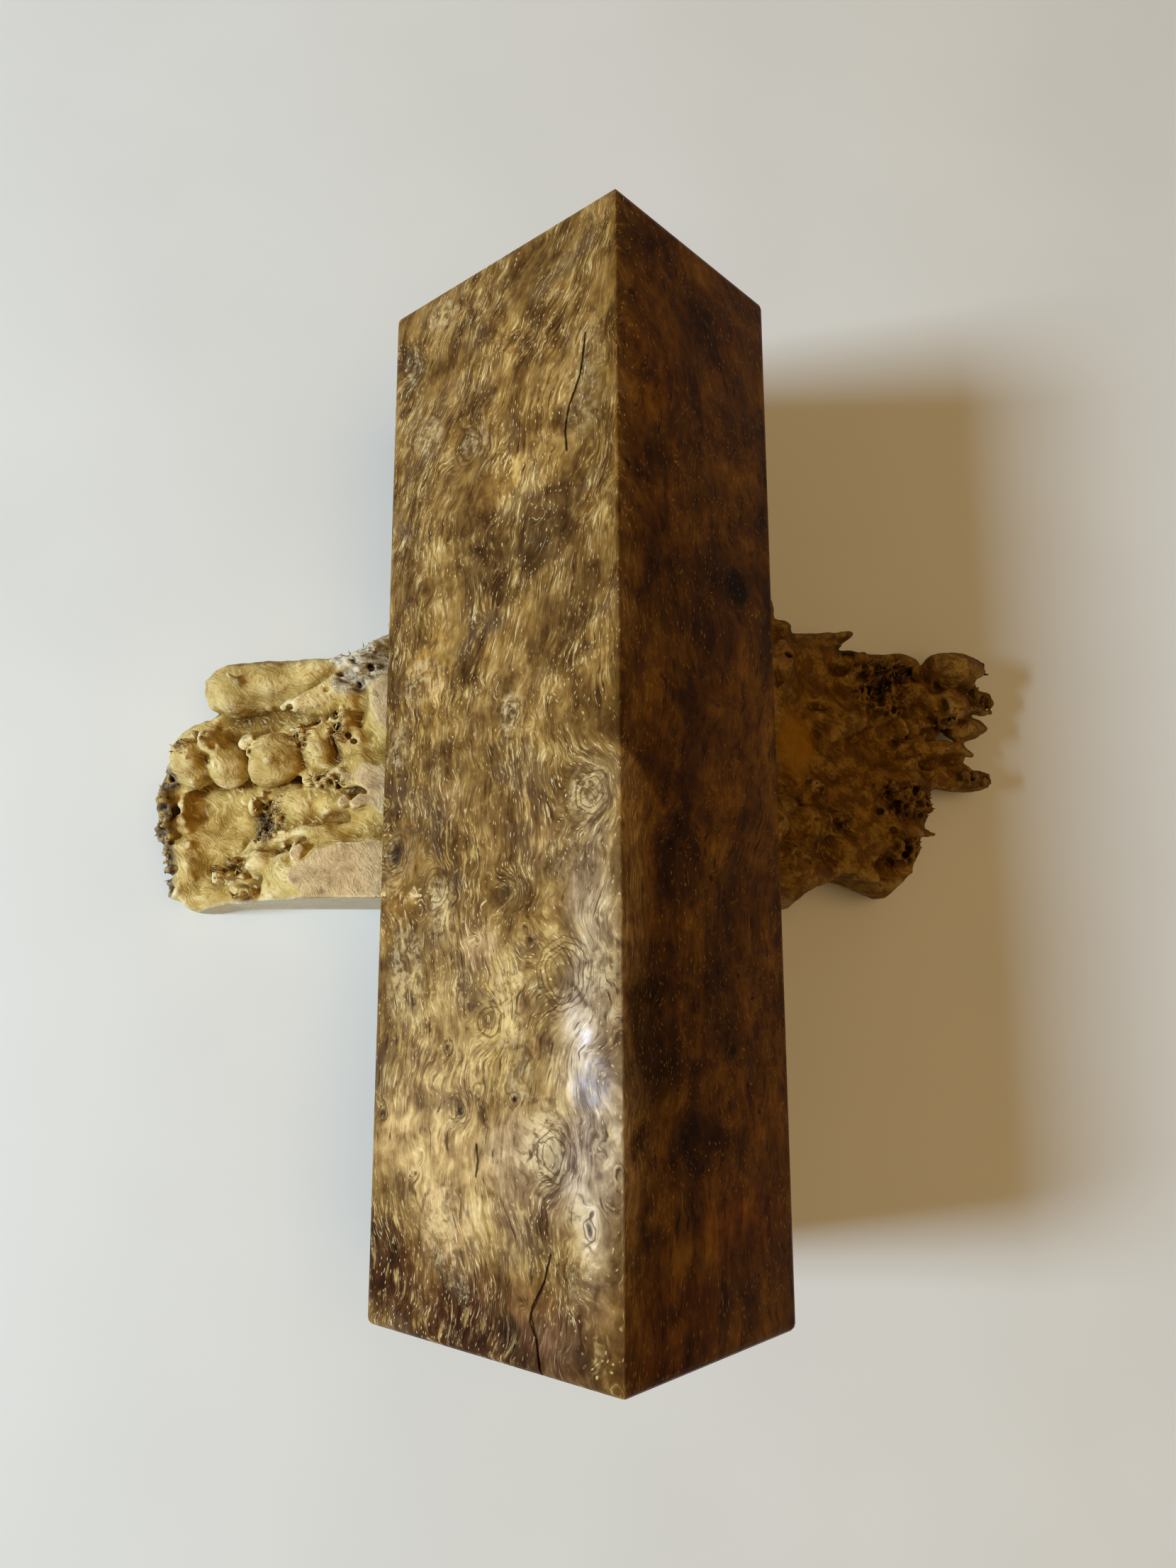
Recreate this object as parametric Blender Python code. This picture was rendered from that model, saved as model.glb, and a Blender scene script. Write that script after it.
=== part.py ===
"""Amboyna burl: a polished block of it, standing on one long edge in a raw piece of the same burl.

Metres, +Z up. +Y runs along the block, away from the viewer. The origin is the middle of the footprint, on
the table. The raw piece lies across the block, along X, and holds it in a V notch.
"""

import math
import random

import bmesh
import bpy
import numpy as np
from mathutils import Matrix, Vector, noise

MM = 0.001

# Driving dimensions
BLOCK_LENGTH = 0.2032
BLOCK_WIDE = 0.0621
BLOCK_NARROW = 0.0487
RIDGE_HEIGHT = 0.090
SAWN_TOP = 0.034
SAWN_FRONT = -0.0224
SEAT_GAP = 0.0003
BELOW_FLOOR = 0.001

# Edges of the block: the ridge is left crisp, the others were eased by hand
RIDGE_EASE = 0.0004
EDGE_EASE = 0.0014

# How finely the raw piece is modelled
VOXEL = 0.0013
STAND_FACES = 13500

# Cracks in the block's wide face: distance down the face from the ridge, distance along the block from
# its middle, and half the crack's width, all in millimetres
CRACK_DEPTH = 0.0022
LONG_CRACK = ((7.3, 75.2, 0.10), (8.1, 70.2, 0.22), (8.7, 67.0, 0.20), (11.3, 62.4, 0.42), (12.3, 57.8, 0.26),
              (11.8, 54.0, 0.10))
END_CRACK = ((15.2, -83.0, 0.10), (16.5, -87.2, 0.20), (19.2, -91.3, 0.28), (19.7, -93.8, 0.30),
             (18.2, -96.2, 0.34), (17.5, -99.6, 0.38), (17.2, -103.0, 0.46))

# The raw piece seen from above, in millimetres, from its far left corner by the block, round the left end,
# along the sawn front and back round the right end
LEFT_OUTLINE = ((-48.6, 42.4), (-53.0, 39.8), (-56.0, 37.5), (-59.0, 31.0), (-62.0, 24.0), (-86.0, 22.6),
                (-93.4, 19.0), (-97.0, 14.5), (-97.4, 10.0), (-98.4, 5.0), (-99.2, 0.0), (-98.6, -6.5),
                (-96.6, -10.0), (-95.6, -16.0), (-95.2, -20.4), (-91.5, -23.4), (-86.0, -25.6), (-80.0, -29.0))
RIGHT_OUTLINE = ((43.0, -29.0), (49.4, -20.2), (53.5, -17.4), (57.0, -16.4), (61.2, -17.1), (65.5, -19.6),
                 (69.8, -19.8), (73.4, -17.1), (76.0, -15.0), (77.6, -12.4), (79.0, -9.0), (79.6, -5.0),
                 (81.0, -2.0), (81.6, 4.0), (80.0, 15.0), (84.0, 18.0), (88.0, 24.0), (86.0, 32.0),
                 (80.4, 37.4), (74.0, 38.4), (66.0, 37.8), (60.6, 38.6), (61.6, 42.6), (54.0, 43.8),
                 (45.4, 47.4), (30.0, 44.5), (12.0, 46.5), (-8.0, 44.0), (-28.0, 45.5))

# The saw's line along the front, which swings out past the natural shoulder at the left
SAW_LINE = ((-90.0, -25.8), (-80.5, SAWN_FRONT / MM), (60.0, SAWN_FRONT / MM), (60.0, -60.0), (-90.0, -60.0))

# Height of the raw piece between its knobs, in millimetres, against X; it falls away towards both ends, and
# the places where it changes wander to and fro along Y
GROUND_X = (-101.0, -92.0, -84.0, -74.0, -62.0, -53.0, -44.0, -37.0, 33.0, 39.0, 47.0, 58.0, 68.0, 77.0, 84.0, 101.0)
GROUND_Z = (11.0, 13.0, 13.5, 16.0, 19.5, 24.0, 29.0, 40.0, 40.0, 31.0, 27.5, 24.0, 20.0, 14.0, 10.0, 8.0)
GROUND_WANDER = 2.4
WANDER_LENGTH = 5.5

# Rounded knobs: centre and the three half widths, in millimetres
KNOBS = (
    # far lobe on the left, a thick tongue that lies along the back
    (-82.5, 28.4, 12.5, 8.2, 6.8, 10.5), (-72.0, 29.4, 13.5, 13.0, 7.2, 11.5), (-60.0, 30.2, 15.0, 12.0, 7.6, 13.5),
    # bark shoulder by the block, and two mounds there that the saw left flat
    (-50.5, 32.5, 20.0, 7.0, 9.0, 13.0), (-41.5, 20.0, 22.0, 9.0, 8.0, 16.0), (-41.5, 2.0, 22.0, 9.4, 7.6, 16.0),
    # knobs of the left end
    (-89.6, 10.0, 16.0, 7.8, 7.6, 9.5), (-84.0, 12.6, 18.0, 4.6, 4.6, 9.0), (-80.0, 9.4, 17.0, 5.2, 5.0, 8.5),
    (-70.2, 10.0, 19.0, 8.3, 8.2, 10.0), (-75.8, 12.2, 22.5, 2.9, 2.9, 3.6), (-61.6, 12.4, 20.0, 6.8, 8.2, 11.0),
    (-53.0, 12.2, 20.0, 8.0, 9.0, 12.0), (-64.4, 0.6, 17.0, 7.4, 7.2, 9.5), (-94.4, 1.0, 11.0, 4.6, 4.0, 6.0),
    (-93.6, -5.2, 10.0, 4.6, 4.0, 6.0), (-60.0, -9.0, 19.0, 13.0, 4.6, 10.5), (-48.0, -9.5, 20.0, 8.0, 6.0, 16.0),
    # flat-topped mound in front of the block, cut by the saw
    (-54.5, -17.0, 18.0, 14.5, 10.0, 21.0), (-76.0, -15.5, 14.0, 9.0, 8.0, 9.0),
    # knobs beside the block on the right
    (41.0, 31.0, 24.0, 4.6, 7.6, 12.0), (47.5, -4.4, 24.0, 8.6, 5.2, 7.5), (40.4, -3.4, 26.0, 4.2, 4.4, 12.0),
    (44.0, -15.0, 20.0, 9.0, 7.0, 12.5), (55.5, 19.5, 16.0, 9.0, 8.0, 10.5), (64.5, 21.0, 15.0, 7.0, 7.0, 9.5),
    (60.5, 30.0, 14.0, 9.0, 7.0, 9.5), (73.0, 34.4, 13.0, 8.5, 5.2, 8.5),
    # lobes of the right end
    (67.0, -11.0, 10.0, 12.0, 8.8, 9.0), (71.5, 3.0, 13.0, 9.0, 8.0, 8.5), (87.4, 33.6, 12.0, 9.2, 6.3, 9.0),
    (85.0, 25.0, 12.0, 7.4, 4.6, 7.0), (89.4, 20.0, 10.5, 5.6, 3.6, 4.8),
)

# Ridges, fingers and spikes: two ends, each with its radius, in millimetres
RIDGES = (
    # folded ridge that runs to the bark by the block
    ((-67.0, 19.2, 28.0, 1.6), (-60.0, 20.2, 26.0, 3.4)), ((-60.0, 20.2, 26.0, 3.4), (-51.5, 24.5, 26.0, 5.5)),
    # spiky ridge between the knobs
    ((-61.5, 4.6, 25.0, 2.0), (-52.0, 2.0, 27.0, 3.4)),
    # cones that point to the left end
    ((-68.5, -16.4, 20.0, 4.2), (-79.0, -18.4, 21.0, 1.2)), ((-64.0, -20.6, 22.0, 4.0), (-75.0, -21.2, 22.0, 1.2)),
    # beak beside the block
    ((50.5, -4.2, 26.0, 3.6), (57.4, -6.8, 27.0, 1.2)),
    # long flat prong at the back
    ((45.0, 39.0, 18.0, 5.4), (58.5, 42.6, 17.0, 2.2)), ((58.5, 42.6, 17.0, 2.2), (64.2, 43.8, 16.5, 1.0)),
    ((45.0, 44.0, 18.0, 2.6), (60.5, 43.4, 17.0, 1.3)),
    # fingers of the right end
    ((88.0, 29.4, 12.0, 3.4), (98.8, 29.4, 10.0, 1.4)), ((88.0, 26.6, 11.5, 3.4), (99.5, 26.4, 9.5, 1.4)),
    ((90.0, 33.0, 11.0, 4.0), (97.0, 34.2, 11.0, 1.1)), ((90.0, 20.0, 10.5, 3.2), (96.6, 20.9, 10.0, 1.0)),
    ((76.0, 14.4, 11.5, 4.4), (87.0, 14.6, 10.5, 2.4)), ((87.0, 14.6, 10.5, 2.4), (92.8, 14.2, 10.0, 1.0)),
    ((74.0, 8.2, 11.5, 5.4), (89.0, 8.2, 9.5, 3.4)), ((89.0, 8.2, 9.5, 3.4), (95.6, 8.9, 9.0, 2.0)),
    ((88.0, 6.6, 9.0, 2.2), (95.0, 6.2, 8.5, 1.1)),
    ((77.0, 2.6, 11.0, 3.2), (83.0, 1.2, 10.0, 1.0)), ((74.0, -4.8, 10.5, 2.2), (83.2, -4.4, 9.5, 0.9)),
    # thorns of the left lobe
    ((-84.0, 27.6, 17.0, 2.6), (-90.8, 28.6, 17.5, 0.9)), ((-82.0, 27.0, 19.0, 2.4), (-78.0, 27.2, 26.5, 0.9)),
    ((-57.0, 35.0, 16.0, 2.4), (-60.6, 39.0, 15.0, 0.9)),
    # jagged bark along the left rim
    ((-95.0, 2.0, 9.0, 3.2), (-99.8, 2.4, 8.5, 1.2)), ((-94.0, -5.0, 9.0, 3.2), (-99.2, -5.0, 8.0, 1.2)),
    ((-92.0, -13.6, 9.0, 2.6), (-96.8, -14.2, 8.0, 0.9)), ((-92.0, -18.6, 8.0, 2.6), (-96.0, -20.0, 6.5, 0.9)),
)

# Spikes that reached above the sawn top and were cut off by it: place and radius, in millimetres
CUT_SPIKES = ((-53.4, -1.8, 1.2), (-50.2, -2.0, 1.4), (-62.3, -12.6, 1.6), (41.5, 24.0, 1.5))

# Patches of buds, each a short blunt spike: centre, half widths and how many, in millimetres
BUD_PATCHES = (
    (-54.0, 13.5, 4.5, 5.0, 9), (-77.0, -16.0, 5.0, 4.0, 8), (-73.0, -4.0, 4.5, 4.5, 7), (-90.0, 10.0, 5.0, 5.0, 8),
    (-64.5, 12.0, 3.0, 5.0, 5), (-95.0, -6.0, 2.0, 9.0, 6), (72.0, 1.0, 7.5, 5.0, 14), (72.0, -10.5, 5.5, 3.5, 7),
    (53.0, -5.5, 4.5, 2.0, 4), (83.0, 21.5, 3.5, 1.5, 4), (66.0, 29.0, 6.0, 3.5, 8), (48.5, 3.0, 3.0, 2.5, 4),
)
BUD_SEED = 7
BUD_ROOT = 1.7
BUD_TIP = 0.7
BUD_RISE = 1.6

# Pits and hollows: place, radius and depth, in millimetres
PITS = (
    (-81.3, 10.8, 1.5, 2.0), (-83.6, 12.8, 1.3, 1.6), (-74.2, 8.8, 1.4, 1.6), (-65.0, 15.4, 1.8, 3.0),
    (-63.0, 9.6, 1.6, 2.6), (-51.4, 10.0, 1.8, 3.0), (-57.4, 17.0, 2.0, 2.2), (-72.6, -3.8, 3.8, 4.0),
    (-69.0, -8.2, 2.6, 2.6), (-78.4, -14.2, 1.8, 2.2), (-76.0, -11.0, 1.6, 1.8), (-81.2, -18.0, 1.4, 1.6),
    (-56.5, -5.0, 3.2, 3.4), (-68.0, -12.6, 2.6, 2.6), (42.8, 29.4, 1.8, 3.4), (54.3, 33.0, 2.4, 3.0),
    (48.2, 4.2, 1.2, 2.0), (50.2, 3.6, 1.2, 2.0), (44.2, -0.4, 1.8, 2.4), (52.5, 21.6, 1.8, 2.4),
    (64.8, 27.0, 2.8, 3.0), (71.0, 30.5, 2.6, 3.4), (65.0, 14.0, 5.0, 3.0), (83.6, 20.9, 2.2, 2.6),
    (78.5, 22.0, 2.6, 2.6), (69.0, 4.0, 1.8, 2.2), (74.5, 3.2, 1.8, 2.2), (72.0, -1.4, 1.8, 2.2),
    (61.4, -3.0, 2.6, 2.4), (70.4, -10.2, 2.0, 2.8), (74.4, -11.0, 1.8, 2.4), (45.6, -13.8, 1.6, 1.6),
)

# Fine relief over the natural skin
RELIEF_HEIGHT = 0.0004
RELIEF_SCALE = 0.0060

WOOD_POLISHED = (0.35, 0.19, 0.07, 1.0)
WOOD_RAW = (0.55, 0.36, 0.16, 1.0)


def clear_scene():
    for thing in list(bpy.data.objects):
        bpy.data.objects.remove(thing, do_unlink=True)


def wood(name, colour, roughness):
    material = bpy.data.materials.new(name)
    material.use_nodes = True
    shader = material.node_tree.nodes["Principled BSDF"]
    shader.inputs["Base Color"].default_value = colour
    shader.inputs["Roughness"].default_value = roughness
    shader.inputs["Metallic"].default_value = 0.0
    return material


def add_object(name, mesh):
    thing = bpy.data.objects.new(name, mesh)
    bpy.context.scene.collection.objects.link(thing)
    return thing


def mesh_from(bm, name):
    mesh = bpy.data.meshes.new(name)
    bm.to_mesh(mesh)
    bm.free()
    return mesh


def cutter(name, mesh):
    tool = add_object(name, mesh)
    tool.hide_render = True
    tool.display_type = "WIRE"
    return tool


def cut(thing, tool):
    step = thing.modifiers.new(tool.name, "BOOLEAN")
    step.operation = "DIFFERENCE"
    step.solver = "EXACT"
    step.object = tool


def apply_modifiers(thing):
    """Swap the object's mesh for its evaluated one, and drop the modifiers."""
    graph = bpy.context.evaluated_depsgraph_get()
    graph.update()
    old = thing.data
    thing.data = bpy.data.meshes.new_from_object(thing.evaluated_get(graph))
    thing.modifiers.clear()
    bpy.data.meshes.remove(old)


def remove_object(thing):
    mesh = thing.data
    bpy.data.objects.remove(thing, do_unlink=True)
    bpy.data.meshes.remove(mesh)


def box_mesh(name, low, high):
    bm = bmesh.new()
    bmesh.ops.create_cube(bm, size=1.0)
    size = Vector(high) - Vector(low)
    middle = (Vector(high) + Vector(low)) / 2
    bmesh.ops.transform(bm, matrix=Matrix.Translation(middle) @ Matrix.Diagonal((*size, 1.0)), verts=bm.verts)
    return mesh_from(bm, name)


def prism_mesh(name, outline, low, high):
    """A plan outline in millimetres, raised from a low to a high level in metres."""
    bm = bmesh.new()
    floor = bm.faces.new([bm.verts.new((x * MM, y * MM, low)) for x, y in outline])
    raised = bmesh.ops.extrude_face_region(bm, geom=[floor])["geom"]
    lifted = [item for item in raised if isinstance(item, bmesh.types.BMVert)]
    bmesh.ops.translate(bm, vec=(0, 0, high - low), verts=lifted)
    bmesh.ops.recalc_face_normals(bm, faces=bm.faces)
    return mesh_from(bm, name)


def lean():
    """Place and turn of the block: its wide face leans down to the left, its narrow one to the right."""
    half = math.sqrt(0.5)
    x = (BLOCK_NARROW - BLOCK_WIDE) * half / 2
    z = RIDGE_HEIGHT - (BLOCK_NARROW + BLOCK_WIDE) * half / 2
    return Matrix.Translation((x, 0, z)) @ Matrix.Rotation(math.radians(-45), 4, "Y")


def crack_cutter(name, points):
    """A tapering slot, cut down into the wide face along a few points."""
    bm = bmesh.new()
    top = BLOCK_NARROW / 2
    rings = []
    for down, along, half_width in points:
        x = BLOCK_WIDE / 2 - down * MM
        y = along * MM
        wide = half_width * MM
        corners = ((wide, CRACK_DEPTH), (-wide, CRACK_DEPTH), (-wide * 0.2, -CRACK_DEPTH), (wide * 0.2, -CRACK_DEPTH))
        rings.append([bm.verts.new((x + across, y, top + up)) for across, up in corners])
    for first, second in zip(rings, rings[1:]):
        for side in range(len(first)):
            after = (side + 1) % len(first)
            bm.faces.new((first[side], first[after], second[after], second[side]))
    bm.faces.new(rings[0][::-1])
    bm.faces.new(rings[-1])
    bmesh.ops.recalc_face_normals(bm, faces=bm.faces)
    return cutter(name, mesh_from(bm, name))


def polished_block():
    half = Vector((BLOCK_WIDE / 2, BLOCK_LENGTH / 2, BLOCK_NARROW / 2))
    block = add_object("polished_block", box_mesh("polished_block", -half, half))
    bm = bmesh.new()
    bm.from_mesh(block.data)
    weight = bm.edges.layers.float.new("bevel_weight_edge")
    for edge in bm.edges:
        middle = (edge.verts[0].co + edge.verts[1].co) / 2
        on_ridge = middle.x > half.x * 0.9 and middle.z > half.z * 0.9
        edge[weight] = RIDGE_EASE / EDGE_EASE if on_ridge else 1.0
    bm.to_mesh(block.data)
    bm.free()
    ease = block.modifiers.new("eased edges", "BEVEL")
    ease.width = EDGE_EASE
    ease.segments = 3
    ease.limit_method = "WEIGHT"
    for name, points in (("long_crack", LONG_CRACK), ("end_crack", END_CRACK)):
        tool = crack_cutter(name, points)
        tool.matrix_world = lean()
        cut(block, tool)
    block.matrix_world = lean()
    block.data.materials.append(wood("polished burl", WOOD_POLISHED, 0.3))
    block.data.shade_smooth()
    block.data.set_sharp_from_angle(angle=math.radians(30))
    return block


def ground_height(x, y):
    """Height of the raw piece between its knobs, in metres, at a place in metres."""
    wander = GROUND_WANDER * (np.sin(y / MM / WANDER_LENGTH) + 0.5 * np.sin(y / MM / WANDER_LENGTH * 2.7 + 1.0))
    return np.interp(x / MM + wander, GROUND_X, GROUND_Z) * MM


def coordinates(mesh):
    flat = np.empty(len(mesh.vertices) * 3)
    mesh.vertices.foreach_get("co", flat)
    return flat.reshape(-1, 3)


def set_coordinates(mesh, points):
    mesh.vertices.foreach_set("co", points.ravel())
    mesh.update()


def remesh(thing, voxel):
    step = thing.modifiers.new("one skin", "REMESH")
    step.mode = "VOXEL"
    step.voxel_size = voxel
    step.adaptivity = 0.0
    apply_modifiers(thing)


def smooth(thing, rounds):
    step = thing.modifiers.new("soften", "SMOOTH")
    step.factor = 0.5
    step.iterations = rounds
    apply_modifiers(thing)


def ground_slab():
    """The plan outline raised to the sawn top, with its top then drawn down or up to the ground height."""
    outline = LEFT_OUTLINE + RIGHT_OUTLINE
    slab = add_object("raw_burl_stand", prism_mesh("raw_burl_stand", outline, -BELOW_FLOOR, SAWN_TOP))
    remesh(slab, VOXEL * 1.3)
    smooth(slab, 10)
    points = coordinates(slab.data)
    above = points[:, 2] > 0
    points[above, 2] *= ground_height(points[above, 0], points[above, 1]) / SAWN_TOP
    set_coordinates(slab.data, points)
    return slab


def add_knob(bm, knob):
    x, y, z, *halves = (value * MM for value in knob)
    place = Matrix.Translation((x, y, z)) @ Matrix.Diagonal((*halves, 1.0))
    bmesh.ops.create_icosphere(bm, subdivisions=3, radius=1.0, matrix=place)


def add_ridge(bm, ends):
    """A cone between two balls, turned to run from the first end to the second."""
    start, finish = (Vector(end[:3]) * MM for end in ends)
    wide, narrow = (end[3] * MM for end in ends)
    along = finish - start
    turn = along.to_track_quat("Z", "Y").to_matrix().to_4x4()
    place = Matrix.Translation((start + finish) / 2) @ turn
    bmesh.ops.create_cone(bm, cap_ends=True, segments=12, radius1=wide, radius2=narrow, depth=along.length,
                          matrix=place)
    for centre, radius in ((start, wide), (finish, narrow)):
        bmesh.ops.create_icosphere(bm, subdivisions=2, radius=radius, matrix=Matrix.Translation(centre))


def skin_height(x, y):
    """Height of the skin at a place, in millimetres: the ground or the highest knob there."""
    height = float(ground_height(x * MM, y * MM)) / MM
    for knob_x, knob_y, knob_z, half_x, half_y, half_z in KNOBS:
        inside = 1 - ((x - knob_x) / half_x) ** 2 - ((y - knob_y) / half_y) ** 2
        if inside > 0:
            height = max(height, knob_z + half_z * math.sqrt(inside))
    return height


def add_buds(bm):
    draw = random.Random(BUD_SEED)
    for middle_x, middle_y, half_x, half_y, count in BUD_PATCHES:
        for _ in range(count):
            x = middle_x + half_x * draw.uniform(-1, 1)
            y = middle_y + half_y * draw.uniform(-1, 1)
            z = skin_height(x, y)
            lean_x = draw.uniform(-1, 1)
            lean_y = draw.uniform(-1, 1)
            add_ridge(bm, ((x, y, z - BUD_ROOT, BUD_ROOT), (x + lean_x, y + lean_y, z + BUD_RISE, BUD_TIP)))


def add_growths(slab):
    """Knobs, ridges, fingers, buds and cut-off spikes, all grown into the slab by one voxel skin."""
    bm = bmesh.new()
    bm.from_mesh(slab.data)
    for knob in KNOBS:
        add_knob(bm, knob)
    for ends in RIDGES:
        add_ridge(bm, ends)
    for x, y, radius in CUT_SPIKES:
        add_ridge(bm, ((x, y, 22.0, radius * 1.8), (x, y, 38.0, radius * 0.8)))
    add_buds(bm)
    bm.to_mesh(slab.data)
    bm.free()
    remesh(slab, VOXEL)


def sink_pits(points, up):
    """Lower the upward-facing skin inside each pit."""
    for x, y, radius, depth in PITS:
        away = np.hypot(points[:, 0] - x * MM, points[:, 1] - y * MM) / (radius * MM)
        points[:, 2] -= depth * MM * np.exp(-away ** 2) * np.clip(up * 2, 0, 1)
    return points


def roughen(slab):
    mesh = slab.data
    points = coordinates(mesh)
    normals = np.array([vertex.normal for vertex in mesh.vertices])
    lift = [noise.fractal(Vector(point) / RELIEF_SCALE, 0.8, 2.0, 2) for point in points]
    points += normals * np.array(lift)[:, None] * RELIEF_HEIGHT
    set_coordinates(mesh, sink_pits(points, normals[:, 2]))


def thin_out(slab):
    slab.data.calc_loop_triangles()
    step = slab.modifiers.new("fewer faces", "DECIMATE")
    step.ratio = STAND_FACES / len(slab.data.loop_triangles)
    step.use_collapse_triangulate = True
    apply_modifiers(slab)


def saw(slab):
    """The flat bottom, the flat top, the straight front and the V notch that the block stands in."""
    reach = 0.3
    seat = Vector((BLOCK_WIDE / 2, BLOCK_LENGTH, BLOCK_NARROW / 2)) + Vector((SEAT_GAP, 0, SEAT_GAP))
    tools = (
        cutter("under_cut", box_mesh("under_cut", (-reach, -reach, -reach), (reach, reach, 0.0))),
        cutter("top_cut", box_mesh("top_cut", (-reach, -reach, SAWN_TOP), (reach, reach, reach))),
        cutter("front_cut", prism_mesh("front_cut", SAW_LINE, -reach, reach)),
        cutter("notch_cut", box_mesh("notch_cut", -seat, seat)),
    )
    tools[-1].matrix_world = lean()
    for tool in tools:
        cut(slab, tool)
    apply_modifiers(slab)
    for tool in tools:
        remove_object(tool)


def raw_burl_stand():
    slab = ground_slab()
    add_growths(slab)
    smooth(slab, 2)
    roughen(slab)
    thin_out(slab)
    saw(slab)
    slab.data.materials.clear()
    slab.data.materials.append(wood("raw burl", WOOD_RAW, 0.75))
    slab.data.shade_smooth()
    slab.data.set_sharp_from_angle(angle=math.radians(40))
    return slab


def centre_on_origin(things):
    """Shift everything level, so that the whole object's box is centred on the origin."""
    bpy.context.view_layer.update()
    corners = [thing.matrix_world @ Vector(corner) for thing in things for corner in thing.bound_box]
    for axis in (0, 1):
        values = [corner[axis] for corner in corners]
        middle = (min(values) + max(values)) / 2
        for thing in things:
            thing.location[axis] -= middle


def main():
    clear_scene()
    centre_on_origin((polished_block(), raw_burl_stand()))


main()
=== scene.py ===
"""Looks of the amboyna burl: a polished block of it, standing in a raw piece of the same burl.

The raw piece is grown here as one closed skin. Its sizes are in millimetres, in the frame of the CAD model:
+X right, +Y away from the viewer along the block, +Z up, the origin on the table under the middle.
"""

import math

import bpy
import numpy as np
from mathutils import Matrix, Vector


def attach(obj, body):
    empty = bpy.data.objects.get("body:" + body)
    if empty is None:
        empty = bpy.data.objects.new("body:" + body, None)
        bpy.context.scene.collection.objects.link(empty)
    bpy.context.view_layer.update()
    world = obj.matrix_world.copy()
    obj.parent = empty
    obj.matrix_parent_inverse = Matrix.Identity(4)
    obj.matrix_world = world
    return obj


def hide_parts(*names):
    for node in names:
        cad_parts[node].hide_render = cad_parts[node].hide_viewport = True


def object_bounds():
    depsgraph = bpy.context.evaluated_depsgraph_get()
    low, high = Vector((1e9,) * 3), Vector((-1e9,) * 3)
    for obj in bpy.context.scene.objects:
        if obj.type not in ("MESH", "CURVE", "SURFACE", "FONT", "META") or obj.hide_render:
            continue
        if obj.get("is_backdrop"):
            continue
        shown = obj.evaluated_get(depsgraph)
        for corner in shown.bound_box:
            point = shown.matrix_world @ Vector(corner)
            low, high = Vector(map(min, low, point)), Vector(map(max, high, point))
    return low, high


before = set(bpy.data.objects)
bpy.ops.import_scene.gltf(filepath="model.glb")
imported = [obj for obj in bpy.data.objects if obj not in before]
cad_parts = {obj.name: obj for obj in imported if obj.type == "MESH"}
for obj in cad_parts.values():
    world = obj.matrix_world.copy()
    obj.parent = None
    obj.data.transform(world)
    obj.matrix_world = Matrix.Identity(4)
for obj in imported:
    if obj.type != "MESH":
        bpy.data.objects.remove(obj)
cad_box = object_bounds()

MM = 0.001

# The polished block, as the CAD model has it
BLOCK_WIDE = 62.1
BLOCK_NARROW = 48.7
RIDGE_X = 0.07
RIDGE_HEIGHT = 90.0
NOTCH_GAP = 0.35

# The saw cuts of the raw piece
SAWN_TOP = 34.0
SAW_LINE = ((-101, -26.6), (-80.4, -22.4), (60, -22.4))

# The grid that the raw piece is grown on, and the faces that its skin keeps
CELL = 0.45
GRID_LOW = (-101.5, -26.5, -1.5)
GRID_HIGH = (101.5, 48.5, 36.0)
SKIN_FACES = 194000

# The raw piece seen from above, from its far left corner by the block and round the left end
LEFT_OUTLINE = (
    (-48.6, 42.4), (-53, 39.8), (-56, 37.5), (-59, 31), (-62, 24), (-86, 22.6), (-93.4, 19), (-97, 14.5),
    (-97.4, 10), (-98.4, 5), (-99.2, 0), (-98.6, -6.5), (-96.6, -10), (-95.6, -16), (-95.2, -20.4),
    (-91.5, -23.4), (-86, -25.6), (-80, -29),
)
RIGHT_OUTLINE = (
    (43, -29), (49.4, -20.2), (53.5, -17.4), (57, -16.4), (61.2, -17.1), (65.5, -19.6), (69.8, -19.8),
    (73.4, -17.1), (76, -15), (77.6, -12.4), (79, -9), (79.6, -5), (81, -2), (81.6, 4), (80, 15), (84, 18),
    (88, 24), (86, 32), (80.4, 37.4), (76.8, 37.2), (70, 36.6), (64, 37.4), (58.6, 37.6), (58, 38.6),
    (60.8, 40.2), (62.6, 42.2), (61.4, 43.4), (55, 43.2), (46.8, 43.4), (45.4, 47.4), (30, 44.5), (12, 46.5),
    (-8, 44), (-28, 45.5),
)

# The same piece's edge in the photo, point by point as read in two enlarged views, down the left and up
# the right; the block hides what lies between. Each view starts at a corner, in pixels of the photo scaled to
# 768 pixels wide, and is enlarged from there. The edge is taken to lie on the level SEEN_LEVEL.
SEEN_LEVEL = 12.0
PHOTO_PER_SMALL = 2.16016
ENLARGED = 4
LEFT_VIEW = (95, 380)
LEFT_EDGE = (
    (640, 140), (612, 150), (590, 163), (565, 178), (545, 188), (528, 197), (512, 190), (505, 203),
    (480, 203), (440, 203), (400, 206), (360, 207), (320, 209), (280, 212), (240, 214), (215, 217),
    (200, 225), (183, 235), (176, 247), (165, 256), (146, 258), (158, 268), (155, 285), (153, 300),
    (157, 318), (170, 332), (190, 342), (207, 343), (195, 348), (175, 357), (150, 367), (125, 378),
    (105, 393), (88, 408), (75, 425), (67, 440), (65, 455), (68, 470), (62, 485), (52, 498), (45, 520),
    (36, 540), (26, 562), (27, 580), (36, 595), (33, 612), (22, 635), (22, 652), (33, 668), (45, 680),
    (58, 688), (62, 700), (58, 710), (60, 730), (72, 740), (62, 752), (60, 762), (75, 770), (65, 790),
    (62, 797), (75, 805), (64, 825), (90, 833), (110, 850), (135, 862), (160, 870), (195, 876),
)
RIGHT_VIEW = (485, 380)
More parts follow.
